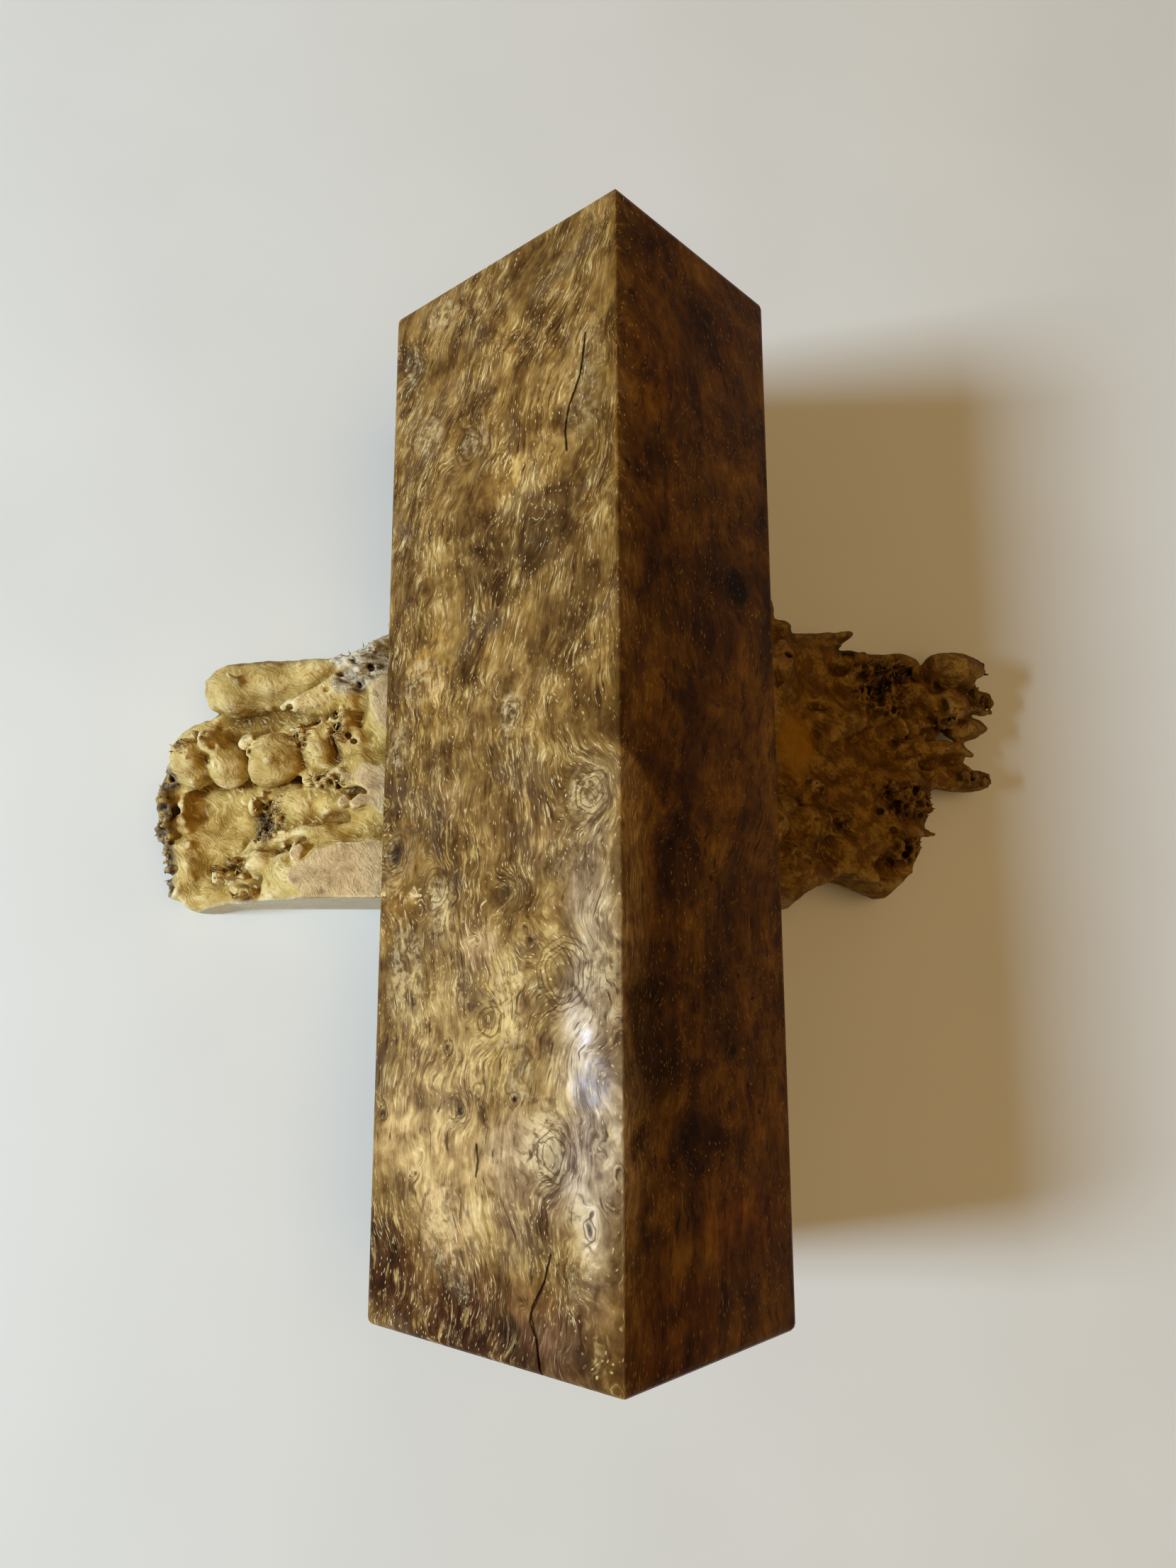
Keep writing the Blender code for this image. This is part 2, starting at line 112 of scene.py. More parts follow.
RIGHT_EDGE = (
    (112, 866), (120, 850), (135, 835), (160, 815), (190, 795), (225, 787), (250, 790), (280, 800),
    (310, 815), (345, 828), (370, 825), (390, 810), (410, 790), (435, 765), (445, 760), (443, 735),
    (455, 715), (463, 690), (462, 672), (470, 662), (500, 666), (505, 658), (490, 652), (475, 645),
    (480, 620), (480, 600), (497, 598), (495, 585), (482, 570), (490, 555), (493, 540), (520, 545),
    (560, 548), (600, 550), (625, 545), (640, 543), (640, 530), (650, 520), (648, 500), (635, 495),
    (620, 492), (600, 486), (585, 475), (575, 468), (600, 462), (610, 448), (590, 430), (572, 420),
    (585, 415), (610, 408), (635, 392), (645, 378), (632, 375), (630, 362), (640, 352), (655, 345),
    (650, 335), (667, 325), (650, 305), (664, 298), (662, 289), (635, 285), (612, 280), (605, 262),
    (612, 252), (628, 244), (645, 243), (630, 225), (632, 215), (620, 205), (605, 200), (575, 188),
    (545, 184), (510, 187), (480, 196), (465, 208), (455, 193), (440, 186), (410, 187), (370, 190),
    (326, 190), (320, 182), (300, 186), (262, 184), (245, 178), (247, 172), (265, 160), (285, 148),
    (294, 141), (288, 132), (270, 130), (240, 134), (200, 136), (160, 137), (127, 135), (125, 112),
    (108, 102), (100, 100), (80, 98),
)

# Where the closed outline of that edge ends in front and behind, past the grid, and how softly it trims
SEEN_FRONT = -45
SEEN_BACK = 65
SEEN_BLEND = 0.8

# Flat places that the saw left at its top level: outline in plan, and how steeply the wood falls away there
MESAS = (
    (((-40, 26.6), (-45.6, 25.4), (-47.1, 24.9), (-48.3, 23), (-48.6, 20.4), (-48.4, 17.9), (-47.3, 15.8),
      (-45.5, 14.3), (-40, 13.4)), 1),
    (((-40, 6), (-45.5, 5.4), (-48.4, 5.1), (-49.4, 3.1), (-49.3, 0.5), (-48.2, -1.5), (-47, -2.9),
      (-45.7, -4.7), (-40, -5.6)), 1.3),
    (((-40, -10), (-46, -10.9), (-50.4, -10.4), (-56.1, -11.2), (-58.5, -12.9), (-60.3, -14.6),
      (-62.5, -15.6), (-63.9, -16.1), (-64.1, -17.6), (-63, -19.3), (-61.3, -20.8), (-60.4, -23.6),
      (-58, -40), (-40, -40)), 0.75),
)

# Height of the raw piece between its knobs, against X, and how far the changes wander along Y
GROUND_X = (-101.0, -92.0, -84.0, -74.0, -62.0, -53.0, -44.0, -37.0, 33.0, 39.0, 47.0, 58.0, 68.0, 77.0, 84.0,
            101.0)
GROUND_Z = (11.0, 13.0, 13.5, 16.0, 19.5, 24.0, 29.0, 40.0, 40.0, 31.0, 27.5, 24.0, 20.0, 14.0, 10.0, 8.0)
GROUND_WANDER = 2.4
WANDER_LENGTH = 5.5
GROUND_SLOPE = 0.85
GROUND_BLEND = 4.0

# How deep the piece is cut under at the table, and up to what height
UNDERCUT = 1.6
UNDERCUT_TOP = 7.0

# Rounded knobs: centre, three half widths, and how softly each grows out of what is there
KNOBS = (
    # far lobe on the left, a thick tongue that lies along the back
    (-81, 26.8, 12.5, 7.6, 6.6, 10, 2.5), (-72, 27.6, 13, 13, 6.8, 11, 2.5),
    (-60, 28, 14.5, 12, 7.2, 12.5, 2.5),
    # bark shoulder by the block
    (-50.5, 29, 19, 7, 8, 13, 2), (-46.5, 32.4, 19, 5, 7, 12, 1.5),
    # knobs of the left end
    (-89.8, 9.6, 16, 6.4, 6.6, 8.6, 0.8), (-84.2, 12.6, 19, 3.4, 3.2, 7, 0.8),
    (-80.6, 8.4, 17, 5.2, 4.6, 7.6, 0.8), (-69.7, 8.2, 23, 5.7, 6.1, 7, 0.35),
    (-75.5, 11.6, 25, 2.1, 2.1, 2.6, 0.3), (-60.2, 11.6, 21.5, 5.4, 6.4, 8.6, 0.45),
    (-52.2, 12.2, 21, 6.6, 7.6, 9.6, 0.5), (-64, -1.2, 18, 5.6, 5.4, 8, 0.6),
    (-94.6, 1.4, 9, 3.6, 2.6, 5.2, 0.8), (-94.4, -4.6, 8.5, 3.6, 2.6, 5, 0.8),
    (-58, -8.4, 19, 12, 3.4, 9.4, 1.4), (-48, -8, 20, 8, 4.4, 12, 1.5),
    # domes and the smooth mound in front, beside the sawn face
    (-71, -13.6, 19, 5.2, 3.6, 8.2, 0.6), (-66.6, -20.2, 19, 5, 5.6, 10.4, 0.7),
    (-75.5, -16.5, 14, 6, 6, 6.4, 2.5),
    # knobs beside the block on the right
    (41.6, 30.6, 24, 4.4, 6.6, 11, 0.8), (42.2, 37.4, 22, 3.4, 4.2, 8.6, 0.8),
    (47, -4.2, 24, 6.4, 4.6, 7, 0.6), (41.6, -1.6, 25, 3.3, 3.5, 9.5, 0.4), (44, -15, 20, 9, 7, 12.5, 3),
    (55.5, 19.5, 16, 9, 8, 10.5, 3), (68.2, 22.4, 15.5, 4.4, 3.8, 7.4, 0.7),
    (71.6, 19.4, 13.5, 3.8, 3.4, 6.8, 0.7), (61.6, 28.6, 15, 5.6, 4.6, 8.2, 0.8),
    (60.8, 21.6, 16, 4.6, 4.2, 7.4, 1.2), (72, 34.2, 13, 7.5, 3.2, 7.6, 0.7),
    (64, 35, 13.5, 6.6, 2.6, 7.8, 0.7),
    # lobes of the right end
    (66.4, -11.4, 10, 11, 8.8, 9, 2.5), (71.5, 3, 13, 9, 8, 8.5, 2), (87.4, 33.9, 11, 8.4, 5.2, 8.4, 0.7),
    (85.2, 25.6, 12.5, 6, 4.2, 6, 0.5), (90, 20.2, 10, 5.2, 3.4, 4.6, 0.5), (78.2, 27.6, 11, 5, 5, 6.5, 1.2),
    (73.6, 10.6, 12.5, 4.6, 3.6, 6, 0.9),
)

# Ridges, fingers and spikes: two ends, each with its radius
RIDGES = (
    # folded ridge that runs to the bark by the block
    ((-67.6, 19.6, 27.4, 0.9), (-60, 20.2, 26, 3.2)), ((-60, 20.2, 26, 3.4), (-51.5, 24.5, 26, 5.5)),
    # spiky ridge between the knobs
    ((-61.5, 4.6, 25, 2), (-52, 2, 27, 3.4)),
    # pale crest under the domes, and the crest of small craters that runs down to the valley
    ((-63.6, 6, 24.5, 0.9), (-57.3, 5.4, 26, 1.1)), ((-57.3, 5.4, 26, 1.1), (-50.7, 6.4, 27, 1.4)),
    ((-85.6, 12.4, 22.8, 1.3), (-82.6, 10.8, 23.4, 1.1)), ((-82.6, 10.8, 23.4, 1.1), (-78.4, 4.6, 20, 0.9)),
    # cones that point to the left end
    ((-68.6, -17, 21.4, 3), (-78.8, -18, 20.6, 0.55)), ((-66.4, -21.4, 22.4, 3), (-76, -21.8, 21.8, 0.5)),
    ((-69.6, -12.6, 22, 2.4), (-78, -12.8, 20.4, 0.5)), ((-76, -14.6, 18, 2.2), (-81, -14.4, 19, 0.5)),
    # beak beside the block
    ((50, -4, 25.5, 2.6), (54.6, -3.4, 26.5, 1.1)), ((54.6, -3.4, 26.5, 1.1), (57.3, -6.8, 26, 0.8)),
    ((50, -6.4, 25, 2), (55, -7.4, 25.4, 0.7)),
    # long flat prong at the back
    ((45, 36.8, 17, 4.8), (55, 40, 17, 2.4)), ((55, 40, 17, 2.4), (62.8, 42.2, 17, 0.8)),
    # fingers of the right end
    ((88, 29.4, 12, 2.8), (97.4, 28.8, 10.5, 1)), ((90, 26.4, 11.5, 2.8), (98, 26, 9.5, 0.9)),
    ((92, 33.6, 11, 3), (96.6, 34, 11, 0.8)), ((90, 20.4, 10.5, 2.6), (96.8, 20.8, 10, 0.7)),
    ((74, 15.2, 12.5, 3), (88, 15.6, 11, 1.7)), ((88, 15.6, 11, 1.7), (93.2, 14.2, 10, 0.6)),
    ((78, 12.8, 9, 3), (88.4, 13.4, 8.5, 1.6)), ((76, 8.6, 10, 4.2), (88.6, 8.4, 9, 3.1)),
    ((88.6, 8.4, 9, 3.1), (95.8, 8.9, 9, 1.9)), ((88, 6.4, 8.5, 1.8), (95.8, 6.1, 8, 0.8)),
    ((77, 2.6, 11, 2.4), (83.4, 1, 10, 0.7)), ((74, -3.8, 10.5, 1.4), (83.3, -4.8, 9.5, 0.55)),
    ((73, -14, 8, 2), (75.8, -15.4, 6, 0.8)),
    # crest that runs from the middle of the right end to its fingers, and two low folds beside it
    ((58, 17, 22, 1.6), (67, 19.6, 19.6, 1.2)), ((63, 10.2, 19.4, 1.4), (74, 15.4, 15.4, 1.4)),
    ((52, 27, 24, 1.4), (60, 31.6, 21, 1.6)), ((57, 2, 21.5, 1.4), (66, 5.4, 19, 1.6)),
    # thorns of the left lobe
    ((-84, 27, 17, 2.2), (-89.4, 28.5, 17.5, 0.5)), ((-78.4, 26.2, 20, 1.6), (-80.8, 27.2, 25.6, 0.5)),
    ((-56, 33, 15, 2.2), (-58.4, 36, 13, 0.8)),
    # jagged bark along the left rim, a row of stubs that point out
    ((-91, 2.4, 12, 2.4), (-99.6, 2.2, 9, 0.9)), ((-91, -0.6, 13, 2.2), (-97.6, -0.4, 11, 1)),
    ((-90.5, -4.6, 12.5, 2.4), (-98.8, -4.9, 9, 1)), ((-89.5, -9, 12, 2.2), (-97, -8.8, 8.5, 0.7)),
    ((-89, -12, 12, 2), (-96.6, -12.4, 9, 0.6)), ((-88.5, -16.2, 11.5, 2.2), (-96.4, -16, 7.5, 0.6)),
    ((-89.5, -19, 9.5, 2.2), (-96, -20, 6.5, 0.6)),
    # pale fingers that the valley sends out over that bark
    ((-88, 2.8, 14.5, 1.6), (-95.4, 2.2, 13.4, 0.9)), ((-87.5, -3.6, 15, 1.5), (-95, -4.4, 13.6, 0.9)),
    ((-87, -8.6, 15, 1.4), (-92.8, -9.4, 13.4, 0.7)), ((-86.5, -14.6, 14.5, 1.4), (-91.6, -16.2, 13, 0.6)),
)
RIDGE_BLEND = 0.9

# Spikes that reached above the sawn top and were cut off by it: place and radius
CUT_SPIKES = ((-53.4, -1.8, 1.2), (-50.2, -2, 1.4), (-62.3, -12.6, 1.6), (41.5, 24, 1.5))

# Patches of buds, each a short pointed spike: centre, half widths, how many, and their mean length
BUD_PATCHES = (
    (-55.4, 15, 2.2, 4, 20, 2.2), (-78, -15, 3.4, 2.4, 14, 1.7), (-75, -21.6, 2.4, 1.6, 12, 1.8),
    (-74, -1, 2.2, 2, 8, 1.6), (-90.8, 11.4, 2.6, 2, 10, 0.8), (-63.8, 13.2, 1.8, 3.4, 12, 1.8),
    (-96, -6, 2.5, 12, 30, 1.4), (-57.4, 3.4, 4.6, 1.6, 14, 2), (-84.2, 13.2, 1.6, 1.4, 5, 1.4),
    (-50, 31.5, 3, 5.5, 10, 1), (-70.4, -4.4, 3.4, 3.4, 10, 1.2), (-64.5, -10.9, 3.4, 1, 6, 1),
    (72, 1, 7.5, 4.4, 34, 1.1), (72, -10.5, 4.5, 3, 12, 1.1), (54, -5.5, 3, 1.6, 7, 1.2),
    (83.6, 22.2, 3, 1.2, 9, 1.2), (67, 31.6, 6, 2.2, 26, 1.8), (48, 3.4, 3, 2, 8, 0.9),
    (94, 27.6, 4, 2.6, 12, 1.1), (90.5, 8, 5, 2, 12, 0.9), (62, 24.6, 4, 2, 8, 1.1),
    (70, 24.5, 7, 4, 22, 0.9), (60, 31, 4, 2.4, 10, 0.9), (77, 20, 3, 4, 8, 0.8),
)
BUD_SEED = 7
BUD_ROOT = 0.95
BUD_TIP = 0.34

# Broad hollows that meet in crests: centre, half widths, depth, and how soft their edge is
HOLLOWS = (
    (-86, -0.8, 5.6, 5.4, 2, 1.8), (-85, -12, 4.4, 7, 1.6, 2), (-80, -4.6, 5.4, 5, 1.6, 2),
    (-78.4, 18.8, 9, 2.6, 1.6, 2), (-57, -5.4, 6.4, 1.8, 3, 1.4), (-68, -10.4, 8, 1.3, 3.2, 1),
    (-56.4, 10.8, 1.2, 3.4, 1.3, 1.6), (-62, 15.8, 2.6, 2, 2.4, 1), (-71.6, -4.6, 3.8, 4.8, 2.8, 1),
    (-53.4, 25.4, 3.2, 2.2, 2.4, 1.4), (-52.6, -0.4, 4.2, 2.4, 4.2, 1), (-51, 20.4, 1.8, 4.6, 2.4, 1.8),
    (66.4, 14.2, 5.2, 3.6, 1.6, 4), (58.6, 9, 5, 4.6, 1.4, 4), (50.2, 21, 3.2, 1.3, 2.4, 0.6),
    (56.4, 31.4, 3, 2, 2.2, 2), (67.4, 27.4, 4.4, 2.6, 3.4, 0.7), (75.6, 24, 3.4, 4, 1.8, 3),
    (61.6, -5.4, 5, 3, 1.6, 3), (50, 10, 4, 5, 1.2, 3), (82.6, 25, 1.5, 2.2, 2, 0.9),
    (94.6, 36.2, 1.6, 2.4, 2.6, 0.4), (80.4, 18.6, 3, 1.6, 2.2, 0.6), (67.6, -13, 3.6, 2.2, 1.2, 3),
    (52.6, -11, 4.4, 3, 2, 1.6), (73, 30.8, 4, 1.6, 3.2, 0.5), (79, 10.9, 4, 0.9, 2.6, 0.5),
)

# Pits: place, radius, depth, and whether a raised rim stands round it
PITS = (
    (-82.6, 11.5, 0.7, 1.4, 1), (-66.4, 19.5, 0.7, 1.6, 0), (-81.1, 7.4, 0.5, 0.9, 0),
    (-84.6, 13.6, 0.7, 1.4, 1), (-74.2, 9, 0.7, 1, 1), (-63.6, 15.6, 1.5, 2.6, 0), (-65, 13.5, 1.2, 2.6, 0),
    (-63.4, 10.8, 1.1, 2, 0), (-60.6, 15.6, 0.9, 1.8, 0), (-52.6, 11.4, 0.8, 2.2, 1),
    (-56, 17.4, 1.1, 1.8, 0), (-54.2, 12.8, 0.8, 2, 0), (-79.6, -15.2, 0.9, 2, 1), (-80.4, -17, 0.7, 1.4, 1),
    (-77, -13.2, 0.9, 1.8, 0), (-73.8, -20.2, 0.8, 1.6, 0), (-76.6, -22.2, 0.8, 1.6, 0),
    (-60, 3.6, 1, 1.8, 0), (-55.4, 1.4, 1, 1.8, 0), (-73.6, -0.6, 0.9, 1.8, 0), (-93.6, -2.2, 1.5, 2.6, 0),
    (-95.4, -7, 1.3, 3, 0), (-94.6, -10.6, 1.1, 3, 0), (-94, -14.2, 1.3, 3, 0), (-93.4, -17.7, 1, 2.6, 0),
    (-94.6, 5.4, 1.5, 3, 0), (-55.3, 26, 0.9, 1.8, 0), (-52, 24.6, 0.8, 1.8, 0), (-57.3, 23, 0.6, 1, 0),
    (-52.4, 29.6, 1, 1.6, 0), (-48.6, 28.2, 1.2, 2, 0), (43.4, 30.8, 1.3, 3.6, 0), (48.3, 4.2, 0.6, 1.8, 1),
    (50, 3.7, 0.6, 1.8, 1), (45, -0.2, 0.9, 1.8, 0), (48.5, -4.2, 0.7, 1.8, 0), (49.5, -1.7, 0.6, 1.4, 0),
    (54.2, -5.2, 1.5, 2.4, 0), (46.4, 2.2, 0.8, 1.4, 0), (73.4, 16.8, 0.7, 1.6, 1), (57.4, 17.5, 0.6, 1.2, 0),
    (65, 27.4, 1.4, 2.4, 0), (70.6, 30.6, 1.6, 2.8, 0), (76, 32.2, 1.2, 2.4, 0), (61.6, 33, 1.2, 2.2, 0),
    (83.2, 21.9, 0.8, 2.4, 0), (84.9, 22.2, 0.8, 2.4, 0), (86.7, 22.4, 0.8, 2.2, 0), (97.6, 29, 0.8, 1.6, 0),
    (96.4, 26.6, 0.9, 1.8, 0), (93.2, 25, 0.8, 1.6, 0), (73.7, 4.3, 0.8, 2.2, 1), (77.9, 1.9, 0.8, 2.2, 1),
    (70.9, 1.6, 0.8, 2, 1), (65.4, -1.3, 0.8, 1.6, 0), (69.7, -1.3, 0.8, 1.8, 0), (72.9, 0.3, 0.7, 2, 0),
    (68.1, -0.3, 0.7, 1.6, 0), (71.7, -2.4, 0.9, 2, 0), (71, 3.6, 0.7, 1.8, 0), (75.6, 2.9, 0.7, 2, 0),
    (75.2, -0.6, 0.7, 1.8, 0), (67, 2.2, 0.6, 1.4, 0), (71.4, -9.9, 1.3, 3, 1), (73.7, -11.2, 1, 2.8, 1),
    (67.6, -11.8, 1.1, 1.6, 0), (68.4, -5.7, 0.9, 1.6, 0), (72.8, -7.4, 0.9, 2, 0), (43.6, -12.1, 1, 1.6, 1),
    (46, -13.4, 0.8, 1.4, 1), (95.9, 8.8, 1.1, 2.6, 0), (86.4, 9.2, 0.6, 1.8, 0), (90.9, 9.4, 0.6, 1.6, 0),
    (92.8, 7.2, 0.7, 1.6, 0), (91.8, 8.9, 0.6, 1.4, 0), (62.4, 27.6, 1.1, 2, 0), (69.6, 22.4, 1, 1.8, 0),
)

# Where bark still clings, and where the skin is a crust of broken fibres: centre and half widths in plan
BARK_PATCHES = (
    (-98, -2.4, 4.4, 9.6), (-96.2, -15, 3.5, 7.4), (-95, 5.6, 2.8, 2.8), (-72.4, -5.2, 3.2, 4.4),
    (70, 31.2, 9.5, 2.2), (59, 35.6, 3, 2), (96.6, 35.4, 1.6, 2.5),
)
WEATHERED_PATCHES = ((-49.5, 32, 5.5, 8), (-53.6, 25, 3.8, 2.8), (-55.6, 31.6, 3.2, 3.2))
CRUST_PATCHES = (
    (-71.6, -4.2, 4.2, 5), (-91.2, 11.8, 2.2, 1.7), (-78.6, -15.4, 3, 2.6), (-75.4, -21.4, 2.8, 1.8),
    (-55.2, 14.6, 1.8, 4.4), (-64.2, 13.4, 1.8, 3.4), (-57.4, 3, 4.6, 1.6), (-96.4, -6, 2.4, 12),
    (68, 24, 6, 4), (67.5, 30.6, 8, 2.6), (73, 1, 7.5, 3.8), (72.2, -10.4, 4, 2.6), (54.5, -5.2, 3, 1.6),
    (94.5, 27.4, 4.4, 2.6), (92, 7.8, 5, 2), (62.6, 25, 3.6, 2),
)

# Loose fibres that stand up out of the crust: centre, half widths in plan, how many, and their mean length
FIBRE_PATCHES = (
    (-55.2, 15, 2.2, 4, 70, 2.8), (-71.6, -4.4, 3.8, 4.6, 150, 1.3), (-90.9, 11.6, 2.4, 2, 26, 0.8),
    (-78.4, -15.4, 3, 2.6, 50, 1.6), (-75, -21.6, 2.4, 1.6, 40, 1.8), (-63.8, 13.2, 1.8, 3.4, 40, 1.8),
    (-57.4, 3.2, 4.4, 1.6, 50, 2.2), (-97, -5, 2.2, 12, 50, 0.9), (-50.6, 31.5, 3, 6, 50, 1),
    (67.5, 30.6, 7, 2.8, 150, 1.7), (73, 1.2, 7, 4, 90, 1.1), (72.2, -10.4, 4, 2.6, 40, 1.1),
    (54.4, -5.2, 3, 1.6, 40, 1.3), (94, 27.6, 4.4, 2.4, 60, 1), (91, 7.8, 4.6, 1.6, 30, 0.8),
    (83.8, 22, 3, 1.2, 30, 1.2),
)
FIBRE_SEED = 11
FIBRE_RADIUS = 0.24
FIBRE_ROOT = 0.6

# How far past the grid the seen edge is worked out
SEEN_MARGIN = 14.0

# Sides turned this way, away from the key light, get painted shade in amber
AWAY_FROM_LIGHT = (0.85, 0.45, 0.25)

# Uneven growth, each as the sizes of its waves and their reach: of all forms, of the outline in plan, of the
# ground, of the back wall behind the block, and of the skin; and the first random seed of each
STRAYS = ((10, 1.3), (4.2, 0.7), (1.9, 0.26))
RIM_STRAYS = ((3.6, 1.1), (1.5, 0.5))
GROUND_STRAYS = ((12, 1.1), (6, 0.6))
BACK_STRAYS = ((8, 1.7), (3.4, 0.8))
SKIN_STRAYS = ((2.3, 0.27), (1.2, 0.15))
STRAY_SEED = 20
RIM_SEED = 40
GROUND_SEED = 44
BACK_SEED = 46
SKIN_SEED = 1

# The back wall that the block hides: where it starts along Y, its half width, how gently it begins, and how
# much calmer its outline is
BACK_START = 34.0
BACK_HALF_WIDTH = 44.0
BACK_FADE = 6.0
BACK_CALM = 0.85

# The camera: its place from the ridge's middle, the ridge's middle as it was fitted in the camera's own axes
# (right, up and back), and the turn away from straight down, in degrees
CAMERA_FROM_RIDGE = (-16.2, -42.0, 179.7)
RIDGE_IN_CAMERA = (5.2, 8.4, -185.0)
CAMERA_TURN = (10.52, -3.47, 0.17)
SENSOR = 36.0
FOCAL_PIXELS = 1591.0
PHOTO_WIDTH = 1659.0
PHOTO_HEIGHT = 2212.0

# Lights: place, target, width in metres, power in watts, and colour
LIGHTS = {
    "key": ((-1.22, -0.17, 0.97), (-0.05, 0.0, 0.03), 0.32, 25.0, (0.68, 0.85, 0.98)),
    "fill": ((0.35, -0.10, 1.50), (0.05, 0.0, 0.0), 0.9, 5.2, (1.0, 0.66, 0.28)),
}
BACKDROP_COLOUR = (1.0, 0.70, 0.36, 1.0)
BACKDROP_STRENGTH = 0.17
FLOOR_REACH = 3.0


# Growing the raw piece

def smooth_union(first, second, blend):
    mix = np.clip(0.5 + 0.5 * (first - second) / blend, 0, 1)
    return first + (second - first) * mix - blend * mix * (1 - mix)


def smooth_cut(first, second, blend):
    return -smooth_union(-first, second, blend)


def wave_weights(coordinates, size, count):
    """Share of each of a row of random numbers at each coordinate, eased from one to the next."""
    place = (coordinates - coordinates[0]) / size
    cell = np.floor(place).astype(int)
    part = place - cell
    part = part * part * (3 - 2 * part)
    weights = np.zeros((len(coordinates), count), np.float32)
    rows = np.arange(len(coordinates))
    weights[rows, cell] = 1 - part
    weights[rows, cell + 1] = part
    return weights


def waves(axes, size, seed, stretch=(1.0, 1.0, 1.0)):
    """Smooth random numbers from -1 to 1 over a whole grid, in waves of that size."""
    lengths = [size * factor for factor in stretch]
    counts = [int((axis[-1] - axis[0]) / length) + 3 for axis, length in zip(axes, lengths)]
    table = np.random.default_rng(seed).uniform(-1, 1, counts).astype(np.float32)
    for axis, length, count in zip(axes, lengths, counts):
        table = np.tensordot(table, wave_weights(axis, length, count), axes=(0, 1))
    return table


def uneven(axes, strays, seed, step=1):
    """Waves of several sizes added up, each with its reach and a seed of its own."""
    return sum(reach * waves(axes, size, seed + step * order) for order, (size, reach) in enumerate(strays))


def outline_distance(x, y, outline):
    """Distance in plan to a closed outline, negative inside it."""
    nearest = np.full(x.shape, 1e6)
    inside = np.zeros(x.shape, bool)
    for (ax, ay), (bx, by) in zip(outline, outline[1:] + outline[:1]):
        ex, ey = bx - ax, by - ay
        along = np.clip(((x - ax) * ex + (y - ay) * ey) / (ex * ex + ey * ey), 0, 1)
        nearest = np.minimum(nearest, np.hypot(x - ax - along * ex, y - ay - along * ey))
        spans = (ay > y) != (by > y)
        inside ^= spans & (x < ax + (y - ay) * ex / (ey if ey else 1e-9))
    return np.where(inside, -nearest, nearest)


def patch_weight(x, y, patches):
    """1 in the middle of each plan patch, falling to 0 outside it."""
    weight = np.zeros(x.shape, np.float32)
    for middle_x, middle_y, half_x, half_y in patches:
        away = ((x - middle_x) / half_x) ** 2 + ((y - middle_y) / half_y) ** 2
        weight = np.maximum(weight, np.clip(1.5 - away, 0, 1))
    return weight


def block_distance(x, y, z):
    """Distance to the block's two lower faces, as if it had no ends, in millimetres, negative inside."""
    half = math.sqrt(0.5)
    down = (-(x - RIDGE_X) * half - (z - RIDGE_HEIGHT) * half,
            (x - RIDGE_X) * half - (z - RIDGE_HEIGHT) * half)
    return np.maximum(down[0] - BLOCK_WIDE, down[1] - BLOCK_NARROW)


